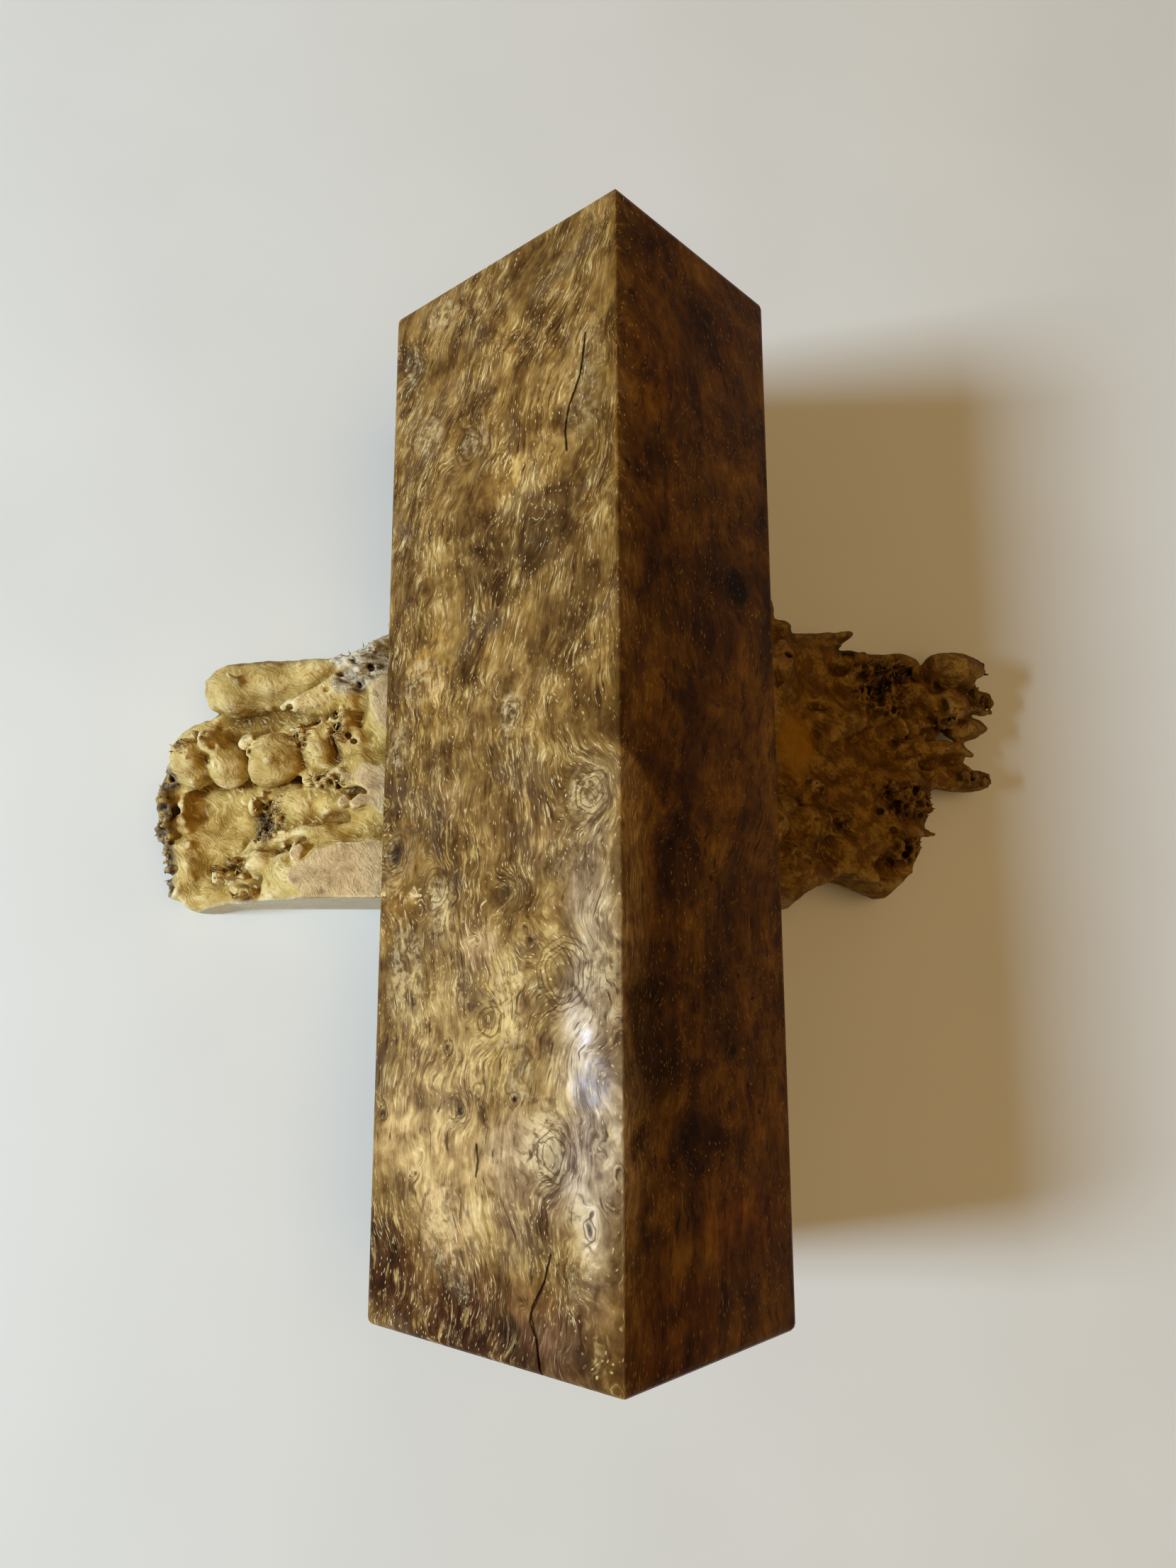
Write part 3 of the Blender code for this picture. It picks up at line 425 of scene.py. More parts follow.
class Field:
    """Signed distances in millimetres on a grid, negative inside the wood."""

    def __init__(self):
        self.low = np.array(GRID_LOW)
        counts = np.ceil((np.array(GRID_HIGH) - self.low) / CELL).astype(int) + 1
        self.axes = [(low + CELL * np.arange(count)).astype(np.float32)
                     for low, count in zip(GRID_LOW, counts)]
        self.value = np.full(counts, 10, np.float32)
        self.strayed = [grid + uneven(self.axes, STRAYS, STRAY_SEED + axis, 3)
                        for axis, grid in enumerate(np.meshgrid(*self.axes, indexing="ij"))]

    def window(self, low, high):
        """The part of the grid inside a box, and the strayed coordinates there."""
        slices = []
        for axis, first, last in zip(self.axes, low, high):
            start, stop = np.searchsorted(axis, (first, last))
            slices.append(slice(min(start, len(axis) - 1), max(stop, start + 1)))
        slices = tuple(slices)
        return slices, *(grid[slices] for grid in self.strayed)

    def plain(self):
        """The straight coordinates of the whole grid, ready to broadcast."""
        x, y, z = self.axes
        return x[:, None, None], y[None, :, None], z[None, None, :]

    def add_knob(self, x, y, z, half_x, half_y, half_z, blend, cut=False):
        halves = (half_x, half_y, half_z)
        reach = np.array(halves) + blend + STRAYS[0][1] + 2 * CELL
        middle = np.array((x, y, z))
        part, *places = self.window(middle - reach, middle + reach)
        offset = [grid - centre for grid, centre in zip(places, middle)]
        unit = np.sqrt(sum((o / h) ** 2 for o, h in zip(offset, halves)))
        slope = np.sqrt(sum((o / h ** 2) ** 2 for o, h in zip(offset, halves))) + 1e-6
        distance = unit * (unit - 1) / slope
        join = smooth_cut if cut else smooth_union
        self.value[part] = join(self.value[part], distance, blend)

    def add_ridge(self, start, finish, blend):
        a, b = np.array(start[:3]), np.array(finish[:3])
        reach = max(start[3], finish[3]) + blend + STRAYS[0][1] + 2 * CELL
        part, *places = self.window(np.minimum(a, b) - reach, np.maximum(a, b) + reach)
        run = b - a
        offset = [grid - first for grid, first in zip(places, a)]
        along = np.clip(sum(o * r for o, r in zip(offset, run)) / (run @ run), 0, 1)
        away = np.sqrt(sum((o - along * r) ** 2 for o, r in zip(offset, run)))
        distance = away - start[3] - along * (finish[3] - start[3])
        self.value[part] = smooth_union(self.value[part], distance, blend)

    def add_mesa(self, outline, fall):
        corners = np.array(outline)
        margin = 14
        low = (*(corners.min(axis=0) - margin), 5.0)
        high = (*(corners.max(axis=0) + margin), GRID_HIGH[2] + 1)
        part, x, y, z = self.window(low, high)
        rim = outline_distance(x[:, :, -1], y[:, :, -1], outline)[:, :, None]
        side = (rim - np.maximum(SAWN_TOP - z, 0) * fall) / math.hypot(1, fall)
        self.value[part] = smooth_union(self.value[part], np.maximum(side, z - SAWN_TOP - 2), 1.2)

    def top_heights(self):
        """Height of the skin over each place in plan."""
        wood = self.value < 0
        last = wood.shape[2] - 1 - np.argmax(wood[:, :, ::-1], axis=2)
        return np.where(wood.any(axis=2), self.axes[2][last] + CELL / 2, 0.0)

    def sample(self, grid, points):
        """A grid's value at places in millimetres, blended between its points."""
        place = (points - self.low) / CELL
        cell = np.clip(np.floor(place).astype(int), 0, np.array(grid.shape) - 2)
        part = place - cell
        total = np.zeros(len(points))
        for corner in np.ndindex(2, 2, 2):
            at = cell + corner
            total += np.where(corner, part, 1 - part).prod(axis=1) * grid[at[:, 0], at[:, 1], at[:, 2]]
        return total


def height_at(field, heights, x, y):
    column = (int(round((x - GRID_LOW[0]) / CELL)), int(round((y - GRID_LOW[1]) / CELL)))
    return float(heights[column])


def grow_ground(field):
    x, y, z = field.strayed
    plan_x, plan_y = np.meshgrid(*field.axes[:2], indexing="ij")
    hidden = (np.clip((plan_y - BACK_START) / BACK_FADE, 0, 1)
              * np.clip((BACK_HALF_WIDTH - np.abs(plan_x)) / BACK_FADE, 0, 1))
    push_x, push_y = [(1 - BACK_CALM * hidden) * uneven(field.axes[:2], RIM_STRAYS, seed, 2)
                      for seed in (RIM_SEED, RIM_SEED + 1)]
    rim = outline_distance(plan_x + push_x, plan_y + push_y, LEFT_OUTLINE + RIGHT_OUTLINE)
    wander = GROUND_WANDER * (np.sin(plan_y / WANDER_LENGTH)
                              + 0.5 * np.sin(plan_y / WANDER_LENGTH * 2.7 + 1.0))
    ground = np.interp(plan_x + wander, GROUND_X, GROUND_Z)
    ground += uneven(field.axes[:2], GROUND_STRAYS, GROUND_SEED)
    undercut = UNDERCUT * np.clip(1 - z / UNDERCUT_TOP, 0, 1) ** 2
    side = rim[:, :, None] + undercut
    side += hidden[:, :, None] * uneven(field.axes, BACK_STRAYS, BACK_SEED)
    field.value[:] = smooth_cut(side, -(z - ground[:, :, None]) * GROUND_SLOPE, GROUND_BLEND)


def grow(field):
    grow_ground(field)
    for *knob, blend in KNOBS:
        field.add_knob(*knob, blend)
    for outline, fall in MESAS:
        field.add_mesa(outline, fall)
    for start, finish in RIDGES:
        field.add_ridge(start, finish, RIDGE_BLEND)
    sink_hollows(field)
    for x, y, radius in CUT_SPIKES:
        field.add_ridge((x, y, 22.0, radius * 1.8), (x, y, 38.0, radius * 0.8), 1.0)


def sink_hollows(field):
    heights = field.top_heights()
    for x, y, half_x, half_y, depth, blend in HOLLOWS:
        z = height_at(field, heights, x, y)
        field.add_knob(x, y, z + depth * 0.25, half_x, half_y, depth * 1.25, blend, cut=True)


def grow_buds(field):
    draw = np.random.default_rng(BUD_SEED)
    heights = field.top_heights()
    for middle_x, middle_y, half_x, half_y, count, length in BUD_PATCHES:
        for _ in range(count):
            across, along, lean_x, lean_y, rise, wide = draw.uniform(-1, 1, 6)
            x = middle_x + half_x * across
            y = middle_y + half_y * along
            z = height_at(field, heights, x, y)
            if z < 2:
                continue
            root = BUD_ROOT * (1 + 0.35 * wide)
            tip = (x + 1.0 * lean_x, y + 1.0 * lean_y, z + length * (1 + 0.5 * rise), BUD_TIP)
            field.add_ridge((x, y, z - root, root), tip, 0.6)


def sink_pits(field):
    heights = field.top_heights()
    for x, y, radius, depth, rim in PITS:
        z = height_at(field, heights, x, y)
        if rim:
            field.add_knob(x, y, z - radius * 0.6, radius * 1.6, radius * 1.5, radius * 1.1, 1.0)
            z += radius * 0.3
        field.add_knob(x, y, z, radius, radius * 0.9, depth, 0.35, cut=True)


def roughen(field):
    """Relief close to the skin: soft waves, broken fibres in the crust, and cracked plates in the bark."""
    plan = np.meshgrid(*field.axes[:2], indexing="ij")
    bark = patch_weight(*plan, BARK_PATCHES + WEATHERED_PATCHES)[:, :, None]
    crust = patch_weight(*plan, CRUST_PATCHES)[:, :, None]
    lift = uneven(field.axes, SKIN_STRAYS, SKIN_SEED)
    fibres = np.abs(waves(field.axes, 1.5, 3, (1.0, 1.0, 2.2)))
    lift += crust * (1.5 * fibres - 0.75 + 0.4 * waves(field.axes, 2.6, 4))
    plates = 1 - np.abs(waves(field.axes, 3.0, 5, (1.8, 0.8, 1.0))) * 2.4
    lift += bark * (0.45 * plates - 0.25 + 0.4 * waves(field.axes, 1.4, 6, (1.8, 0.8, 1.0)))
    field.value += lift


def seen_places(points, view):
    """Points read in an enlarged view, as places on the level SEEN_LEVEL, to a tenth of a millimetre."""
    turn = Vector([math.radians(angle) for angle in CAMERA_TURN])
    facing = np.array(Matrix.Rotation(turn.length, 3, turn))
    camera = (0, 0, RIDGE_HEIGHT) - facing @ RIDGE_IN_CAMERA
    places = []
    for point in points:
        pixel_x, pixel_y = [(corner + step / ENLARGED) * PHOTO_PER_SMALL for corner, step in zip(view, point)]
        ray = facing @ (pixel_x - PHOTO_WIDTH / 2, PHOTO_HEIGHT / 2 - pixel_y, -FOCAL_PIXELS)
        place = camera + ray * (SEEN_LEVEL - camera[2]) / ray[2]
        places.append((round(float(place[0]), 1), round(float(place[1]), 1)))
    return places


def seen_outline():
    """The edge that the camera sees, as one closed outline that runs on straight past the grid."""
    left, right = seen_places(LEFT_EDGE, LEFT_VIEW), seen_places(RIGHT_EDGE, RIGHT_VIEW)
    front = [(left[-1][0], SEEN_FRONT), (right[0][0], SEEN_FRONT)]
    back = [(right[-1][0], SEEN_BACK), (left[0][0], SEEN_BACK)]
    return left + front + right + back


def resampled(grid, place):
    """A grid's rows at fractional places, each blended from the two rows beside it."""
    cell = np.clip(np.floor(place).astype(int), 0, len(grid) - 2)
    part = (place - cell)[:, None]
    return grid[cell] * (1 - part) + grid[cell + 1] * part


def keep_seen(field):
    """Trim what would stand past the edge that the camera sees, level by level."""
    camera = np.array(CAMERA_FROM_RIDGE) + (RIDGE_X, 0.0, RIDGE_HEIGHT)
    lows = np.array(GRID_LOW[:2]) - SEEN_MARGIN
    counts = ((np.array(GRID_HIGH[:2]) + SEEN_MARGIN - lows) / CELL).astype(int)
    plan = np.meshgrid(*(low + CELL * np.arange(count) for low, count in zip(lows, counts)), indexing="ij")
    distance = outline_distance(*plan, seen_outline())
    for level, z in enumerate(field.axes[2]):
        scale = (camera[2] - SEEN_LEVEL) / (camera[2] - z)
        across, along = [(middle + (axis - middle) * scale - low) / CELL
                         for axis, middle, low in zip(field.axes, camera, lows)]
        seen = resampled(resampled(distance, across).T, along).T
        field.value[:, :, level] = smooth_cut(field.value[:, :, level], -seen / scale, SEEN_BLEND)


def saw(field):
    """The flat bottom and top, the straight front, and the notch that the block stands in."""
    x, y, z = field.plain()
    value = np.maximum(field.value, -z)
    value = np.maximum(value, z - SAWN_TOP)
    value = np.maximum(value, saw_distance(x, y))
    field.value = np.maximum(value, NOTCH_GAP - block_distance(x, y, z)).astype(np.float32)


def saw_distance(x, y):
    """Distance in front of the saw's line, positive where the wood is cut away."""
    (ax, ay), (bx, by), _ = SAW_LINE
    run = math.hypot(bx - ax, by - ay)
    slanted = -((bx - ax) * (y - ay) - (by - ay) * (x - ax)) / run
    return np.where(x < bx, slanted, by - y)


# The skin of the field, its notes for the material, and the loose fibres

def skin_points(value):
    """One point in every grid cell that the skin crosses, at the mean of its crossings on the edges."""
    inside = value < 0
    shape = np.array(value.shape) - 1
    count = np.zeros(shape, np.uint8)
    for i, j, k in np.ndindex(2, 2, 2):
        count += inside[i:shape[0] + i, j:shape[1] + j, k:shape[2] + k]
    crossed = (count > 0) & (count < 8)
    cells = np.argwhere(crossed)
    number = np.full(shape, -1, np.int32)
    number[crossed] = np.arange(len(cells))
    total = np.zeros((len(cells), 3))
    hits = np.zeros(len(cells))
    for axis in range(3):
        for i, j in np.ndindex(2, 2):
            start = cells.copy()
            start[:, (axis + 1) % 3] += i
            start[:, (axis + 2) % 3] += j
            finish = start.copy()
            finish[:, axis] += 1
            first = value[tuple(start.T)]
            second = value[tuple(finish.T)]
            crossing = (first < 0) != (second < 0)
            place = start.astype(float)
            place[crossing, axis] += (first / np.where(crossing, first - second, 1))[crossing]
            total[crossing] += place[crossing]
            hits += crossing
    return total / hits[:, None], number, inside


def skin_faces(number, inside):
    """A four-sided face round every grid edge that the skin crosses, facing out."""
    faces = []
    for axis in range(3):
        step = np.eye(3, dtype=int)
        start_in = np.take(inside, range(inside.shape[axis] - 1), axis)
        end_in = np.take(inside, range(1, inside.shape[axis]), axis)
        edges = np.argwhere(start_in != end_in)
        one, two = step[(axis + 1) % 3], step[(axis + 2) % 3]
        ring = [number[tuple((edges - back).T)] for back in (one + two, two, 0 * one, one)]
        quads = np.stack(ring, axis=1)
        outward = inside[tuple(edges.T)]
        quads[~outward] = quads[~outward][:, ::-1]
        faces.append(quads)
    return np.concatenate(faces)


def keep_largest(points, faces):
    """Drop every loose crumb: keep the skin that the most points belong to."""
    label = np.arange(len(points))
    ends = np.concatenate([faces[:, [i, (i + 1) % 4]] for i in range(4)])
    while True:
        low = np.minimum(label[ends[:, 0]], label[ends[:, 1]])
        new = label.copy()
        np.minimum.at(new, ends[:, 0], low)
        np.minimum.at(new, ends[:, 1], low)
        new = new[new]
        if (new == label).all():
            break
        label = new
    main = np.bincount(label).argmax()
    kept = label == main
    renumber = np.cumsum(kept) - 1
    return points[kept], renumber[faces[kept[faces[:, 0]]]]


def add_object(name, data):
    thing = bpy.data.objects.new(name, data)
    bpy.context.scene.collection.objects.link(thing)
    return thing


def add_mesh(name, points, faces):
    mesh = bpy.data.meshes.new(name)
    mesh.from_pydata(points, [], faces)
    mesh.update()
    return add_object(name, mesh)


def apply_modifiers(thing):
    graph = bpy.context.evaluated_depsgraph_get()
    graph.update()
    old = thing.data
    thing.data = bpy.data.meshes.new_from_object(thing.evaluated_get(graph))
    thing.modifiers.clear()
    bpy.data.meshes.remove(old)


def thin_out(thing, target):
    step = thing.modifiers.new("fewer faces", "DECIMATE")
    step.ratio = target / (2 * len(thing.data.polygons))
    apply_modifiers(thing)


def coordinates(mesh):
    flat = np.empty(len(mesh.vertices) * 3, np.float32)
    mesh.vertices.foreach_get("co", flat)
    return flat.reshape(-1, 3)


def blurred(grid, radius):
    """Mean over a box of about that radius in millimetres, taken along each axis in turn."""
    steps = max(1, int(round(radius / CELL)))
    for axis in range(3):
        padded = np.concatenate([np.repeat(np.take(grid, [0], axis), steps + 1, axis), grid,
                                 np.repeat(np.take(grid, [-1], axis), steps, axis)], axis)
        sums = np.cumsum(padded, axis=axis, dtype=np.float32)
        count = grid.shape[axis]
        upper = np.take(sums, range(2 * steps + 1, 2 * steps + 1 + count), axis)
        lower = np.take(sums, range(0, count), axis)
        grid = (upper - lower) / (2 * steps + 1)
    return grid


def paint(mesh, name, values):
    layer = mesh.attributes.new(name, "FLOAT", "POINT")
    layer.data.foreach_set("value", values.astype(np.float32))


def paint_skin(mesh, field):
    """Notes for the material: how enclosed each place is, for painted shade in hollows and creases and a
    painted highlight on crests, where it is sawn, bark or crust, and where it turns from the key light, for
    painted shade there.
    """
    points = coordinates(mesh) / MM
    x, y, z = points.T
    wood = (field.value < 0).astype(np.float32)
    # Painted shade: how enclosed each place is, which darkens the hollows
    paint(mesh, "hollow_shade", field.sample(blurred(wood, 2.6), points))
    # Painted highlight and shade: how enclosed each place is at a finer size, which pales the crests and
    # darkens the creases
    paint(mesh, "crease_light_and_shade", field.sample(blurred(wood, 1.0), points))
    cut = np.minimum.reduce([np.abs(z), np.abs(z - SAWN_TOP), np.abs(saw_distance(x, y)),
                             np.abs(block_distance(x, y, z) - NOTCH_GAP)])
    paint(mesh, "sawn", np.clip(1.6 - cut / 0.12, 0, 1))
    paint(mesh, "bark", patch_weight(x, y, BARK_PATCHES))
    paint(mesh, "weathered", patch_weight(x, y, WEATHERED_PATCHES))
    # Painted shade: how far each place turns from the key light, which makes those sides amber
    normals = np.empty(len(mesh.vertices) * 3, np.float32)
    mesh.vertices.foreach_get("normal", normals)
    paint(mesh, "painted_shade_side", np.clip((normals.reshape(-1, 3) @ AWAY_FROM_LIGHT - 0.35) * 1.6, 0, 1))
    paint(mesh, "crust", patch_weight(x, y, CRUST_PATCHES))


def fibre_cones(field):
    """Loose fibres, each a thin four-sided spike rooted in the skin."""
    draw = np.random.default_rng(FIBRE_SEED)
    heights = field.top_heights()
    points, faces = [], []
    for middle_x, middle_y, half_x, half_y, count, length in FIBRE_PATCHES:
        for _ in range(count):
            across, along, lean_x, lean_y, rise = draw.uniform(-1, 1, 5)
            x, y = middle_x + half_x * across, middle_y + half_y * along
            z = height_at(field, heights, x, y)
            reach = length * (1 + 0.6 * rise)
            tip = np.array((x + 0.7 * reach * lean_x, y + 0.7 * reach * lean_y, z + 0.8 * reach))
            clear = float(block_distance(tip[0], tip[1], tip[2])) > 1.0
            if z < 3 or tip[2] > SAWN_TOP - 0.1 or not clear or tip[1] < SAW_LINE[1][1]:
                continue
            first = len(points)
            for turn in range(4):
                angle = math.pi / 2 * turn + along
                root_x, root_y = x + FIBRE_RADIUS * math.cos(angle), y + FIBRE_RADIUS * math.sin(angle)
                points.append((root_x, root_y, z - FIBRE_ROOT))
            points.append(tuple(tip))
            faces += [(first + turn, first + (turn + 1) % 4, first + 4) for turn in range(4)]
            faces.append((first + 3, first + 2, first + 1, first))
    return np.array(points), faces


def raw_burl():
    field = Field()
    grow(field)
    grow_buds(field)
    sink_pits(field)
    keep_seen(field)
    roughen(field)
    saw(field)
    points, number, inside = skin_points(field.value)
    points, faces = keep_largest(points, skin_faces(number, inside))
    piece = add_mesh("raw_burl", ((field.low + points * CELL) * MM).tolist(), faces.tolist())
    thin_out(piece, SKIN_FACES)
    piece.data.shade_smooth()
    paint_skin(piece.data, field)
    piece.data.materials.append(raw_material())
    points, faces = fibre_cones(field)
    fibres = add_mesh("raw_burl_fibres", (points * MM).tolist(), faces)
    fibres.data.materials.append(fibre_material())
    return piece, fibres


# Materials

class Value:
    """What one node of a material gives. Numbers and other values can be added, taken off, and so on."""

    def __init__(self, shader, socket):
        self.shader = shader
        self.socket = socket

    def __add__(self, other):
        return self.shader.math("ADD", self, other)

    def __radd__(self, other):
        return self.shader.math("ADD", other, self)

    def __sub__(self, other):
        return self.shader.math("SUBTRACT", self, other)

    def __rsub__(self, other):
        return self.shader.math("SUBTRACT", other, self)

    def __mul__(self, other):
        return self.shader.math("MULTIPLY", self, other)

    def __rmul__(self, other):
        return self.shader.math("MULTIPLY", other, self)

    def __truediv__(self, other):
        return self.shader.math("DIVIDE", self, other)


class Shader:
    """The nodes of one material, under short names. Sizes are in millimetres."""

    def __init__(self, name):
        self.material = bpy.data.materials.new(name)
        self.material.use_nodes = True
        self.tree = self.material.node_tree
        self.surface = self.tree.nodes["Principled BSDF"]
        place = Value(self, self.node("TexCoord").outputs["Object"])
        self.place = self.vector("SCALE", place, scale=1 / MM)

    def node(self, kind):
        return self.tree.nodes.new("ShaderNode" + kind)

    def put(self, socket, value):
        if isinstance(value, Value):
            self.tree.links.new(value.socket, socket)
        else:
            socket.default_value = value

    def math(self, operation, first, second=0.0, third=0.0, clamp=False):
        node = self.node("Math")
        node.operation = operation
        node.use_clamp = clamp
        for socket, value in zip(node.inputs, (first, second, third)):
            self.put(socket, value)
        return Value(self, node.outputs[0])

    def vector(self, operation, first, second=(0, 0, 0), scale=1.0):
        node = self.node("VectorMath")
        node.operation = operation
        self.put(node.inputs[0], first)
        self.put(node.inputs[1], second)
        if operation == "SCALE":
            self.put(node.inputs[3], scale)
        number = operation in ("LENGTH", "DISTANCE", "DOT_PRODUCT")
        return Value(self, node.outputs["Value" if number else "Vector"])

    def parts(self, vector):
        node = self.node("SeparateXYZ")
        self.put(node.inputs[0], vector)
        return [Value(self, socket) for socket in node.outputs]

    def join(self, x, y, z):
        node = self.node("CombineXYZ")
        for socket, value in zip(node.inputs, (x, y, z)):
            self.put(socket, value)
        return Value(self, node.outputs[0])

    def away(self, place, centre, halves):
        """How far out a place lies in a rounded patch: 0 in its middle, 1 on its rim."""
        offset = self.vector("SUBTRACT", place, centre)
        return self.vector("LENGTH", self.vector("DIVIDE", offset, halves))

    def noise(self, place, size, detail=2.0, roughness=0.5, colour=False):
        node = self.node("TexNoise")
        self.put(node.inputs["Vector"], place)
        node.inputs["Scale"].default_value = 1 / size
        node.inputs["Detail"].default_value = detail
        node.inputs["Roughness"].default_value = roughness
        return Value(self, node.outputs["Color" if colour else "Fac"])

    def warp(self, place, size, reach, detail=1.0):
        """Push a place about by up to roughly that reach, in waves of that size."""
        push = self.vector("SUBTRACT", self.noise(place, size, detail, colour=True), (0.5, 0.5, 0.5))
        return self.vector("ADD", place, self.vector("SCALE", push, scale=reach * 2))

    def cells(self, place, size):
        node = self.node("TexVoronoi")
        self.put(node.inputs["Vector"], place)
        node.inputs["Scale"].default_value = 1 / size
        away = Value(self, node.outputs["Distance"]) * size
        return away, self.parts(Value(self, node.outputs["Color"]))[0]

    def band(self, value, low, high, bottom=0.0, top=1.0):
        """The value's course from low to high, eased, as a number from bottom to top."""
        node = self.node("MapRange")
        node.interpolation_type = "SMOOTHSTEP"
        node.clamp = False
        for name, setting in (("Value", value), ("From Min", low), ("From Max", high), ("To Min", bottom),
                              ("To Max", top)):
            self.put(node.inputs[name], setting)
        return Value(self, node.outputs[0])

    def ramp(self, value, stops):
        node = self.node("ValToRGB")
        self.put(node.inputs[0], value)
        row = node.color_ramp.elements
        while len(row) < len(stops):
            row.new(0.5)
        for element, (position, colour) in zip(row, stops):
            element.position = position
            element.color = (*colour, 1.0)
        return Value(self, node.outputs[0])

    def mix(self, factor, first, second, blend="MIX"):
        node = self.node("Mix")
        node.data_type = "RGBA"
        node.blend_type = blend
        self.put(node.inputs[0], factor)
        for socket, value in ((node.inputs[6], first), (node.inputs[7], second)):
            self.put(socket, (*value, 1.0) if isinstance(value, tuple) else value)
        return Value(self, node.outputs[2])

    def note(self, name):
        node = self.node("Attribute")
        node.attribute_name = name
        return Value(self, node.outputs["Fac"])

    def bump(self, height, depth, under=None):
        node = self.node("Bump")
        node.inputs["Distance"].default_value = depth * MM
        node.inputs["Strength"].default_value = 1.0
        self.put(node.inputs["Height"], height)
        if under:
            self.put(node.inputs["Normal"], under)
        return Value(self, node.outputs[0])

    def finish(self, colour, roughness, normal=None, **settings):
        self.put(self.surface.inputs["Base Color"], colour)
        self.put(self.surface.inputs["Roughness"], roughness)
        if normal:
            self.put(self.surface.inputs["Normal"], normal)
        for name, value in settings.items():
            self.surface.inputs[name.replace("_", " ")].default_value = value
        return self.material


# Colours against depth: of the raw wood from its pale crests to its hollows, darkening into the hollows as
# painted shade, and of the rest from dark to pale
RAW_STOPS = (
    (0.30, (0.82, 0.62, 0.28)), (0.42, (0.73, 0.53, 0.195)), (0.51, (0.63, 0.445, 0.140)),
    (0.59, (0.43, 0.275, 0.065)), (0.68, (0.25, 0.140, 0.025)), (0.84, (0.07, 0.028, 0.005)),
)
BROKEN_STOPS = ((0.32, (0.032, 0.016, 0.006)), (0.47, (0.18, 0.095, 0.026)), (0.62, (0.66, 0.46, 0.17)))
BARK_STOPS = (
    (0.34, (0.018, 0.011, 0.006)), (0.48, (0.085, 0.055, 0.032)), (0.60, (0.220, 0.155, 0.095)),
    (0.76, (0.46, 0.36, 0.23)),
)
GREY_STOPS = (
    (0.3, (0.045, 0.028, 0.02)), (0.4, (0.22, 0.165, 0.115)), (0.5, (0.5, 0.42, 0.3)),
    (0.66, (0.8, 0.72, 0.55)),
)
SAWN_STOPS = ((0.28, (0.4, 0.25, 0.14)), (0.44, (0.62, 0.43, 0.22)), (0.62, (0.82, 0.62, 0.34)))
FIBRE_STOPS = ((0.34, (0.12, 0.062, 0.02)), (0.48, (0.44, 0.28, 0.09)), (0.60, (0.86, 0.70, 0.38)))


def grown_wood(s, crease_light_and_shade, curls):
    """Curled wood that is pale on its crests, a painted highlight, and amber in its hollows and on the sides
    turned from the key light, painted shade.
    """
    blotch = s.noise(s.place, 6.0, 4.0, 0.66)
    # Painted shade: darker towards the hollows, blended with a random blotch of the wood's own tone
    depth = s.note("hollow_shade") + (blotch - 0.5) * 0.46
    wood = s.ramp(depth, RAW_STOPS)
    wood = s.mix(s.band(curls, 0.52, 0.66, 0.0, 0.60), wood, (0.95, 0.80, 0.44))
    wood = s.mix(s.band(curls, 0.47, 0.34, 0.0, 0.60), wood, (0.27, 0.145, 0.030))
    # Painted highlight: the crests are paled
    crest = s.band(crease_light_and_shade, 0.45, 0.30)
    wood = s.mix(crest * 0.85, wood, (0.95, 0.8, 0.46))
    # Painted shade in amber on the sides turned from the key light
    wood = s.mix(s.note("painted_shade_side") * s.band(blotch, 0.25, 0.55, 0.4, 0.95), wood, (0.35, 0.195, 0.026))
    orange = s.band(s.noise(s.place, 13.0, 2.0), 0.50, 0.68, 0.0, 0.5)
    wood = s.mix(orange, wood, (0.51, 0.32, 0.08))
    freckles = s.band(s.noise(s.place, 0.9, 2.0), 0.66, 0.74, 0.0, 0.6)
    return s.mix(freckles, wood, (0.20, 0.10, 0.03))


def bark_over(s, wood, crease_light_and_shade):
    """Bark in cracked plates, and weathered grey wood, both darkened in their creases as painted shade."""
    plates = s.noise(s.place, 1.6, 4.0, 0.7)
    # Painted shade: the bark is darker in its creases
    bark_colour = s.ramp(plates + (crease_light_and_shade - 0.5) * -0.8, BARK_STOPS)
    bark = s.math("MULTIPLY", s.note("bark"), s.band(s.noise(s.place, 3.4, 3.0, 0.6), 0.36, 0.52), clamp=True)
    wood = s.mix(bark, wood, bark_colour)
    streaked = s.noise(s.vector("MULTIPLY", s.warp(s.place, 5.0, 2.0), (0.55, 1.9, 0.55)), 1.5, 4.0, 0.68)
    # Painted shade: the grey wood is darker in its creases
    grey = s.ramp(streaked + (crease_light_and_shade - 0.5) * -0.6, GREY_STOPS)
    return s.mix(s.note("weathered"), wood, grey)


def sawn_over(s, wood, hatch):
    """Sawn faces: smudged and spotted on top, pale in front."""
    smudge = s.noise(s.place, 4.2, 4.0, 0.62)
    spots = s.band(s.noise(s.place, 2.0, 2.0), 0.60, 0.72, 0.0, 0.55)
    facet = s.ramp(smudge + (hatch - 0.5) * 0.25, SAWN_STOPS)
    facet = s.mix(spots, facet, (0.24, 0.145, 0.10))
    front = s.band(s.parts(s.place)[2], SAWN_TOP - 0.1, SAWN_TOP - 4.0, 0.0, 0.75)
    facet = s.mix(front, facet, (0.86, 0.80, 0.62))
    return s.mix(s.note("sawn"), wood, facet)


def right_end_tone_and_shade(s):
    """How far a place lies in the right end, painted darker and browner: painted shade where the block's
    shadow falls there, partly the wood's own browner colour.
    """
    return s.band(s.parts(s.place)[0], 10.0, 46.0, 0.0, 0.88)


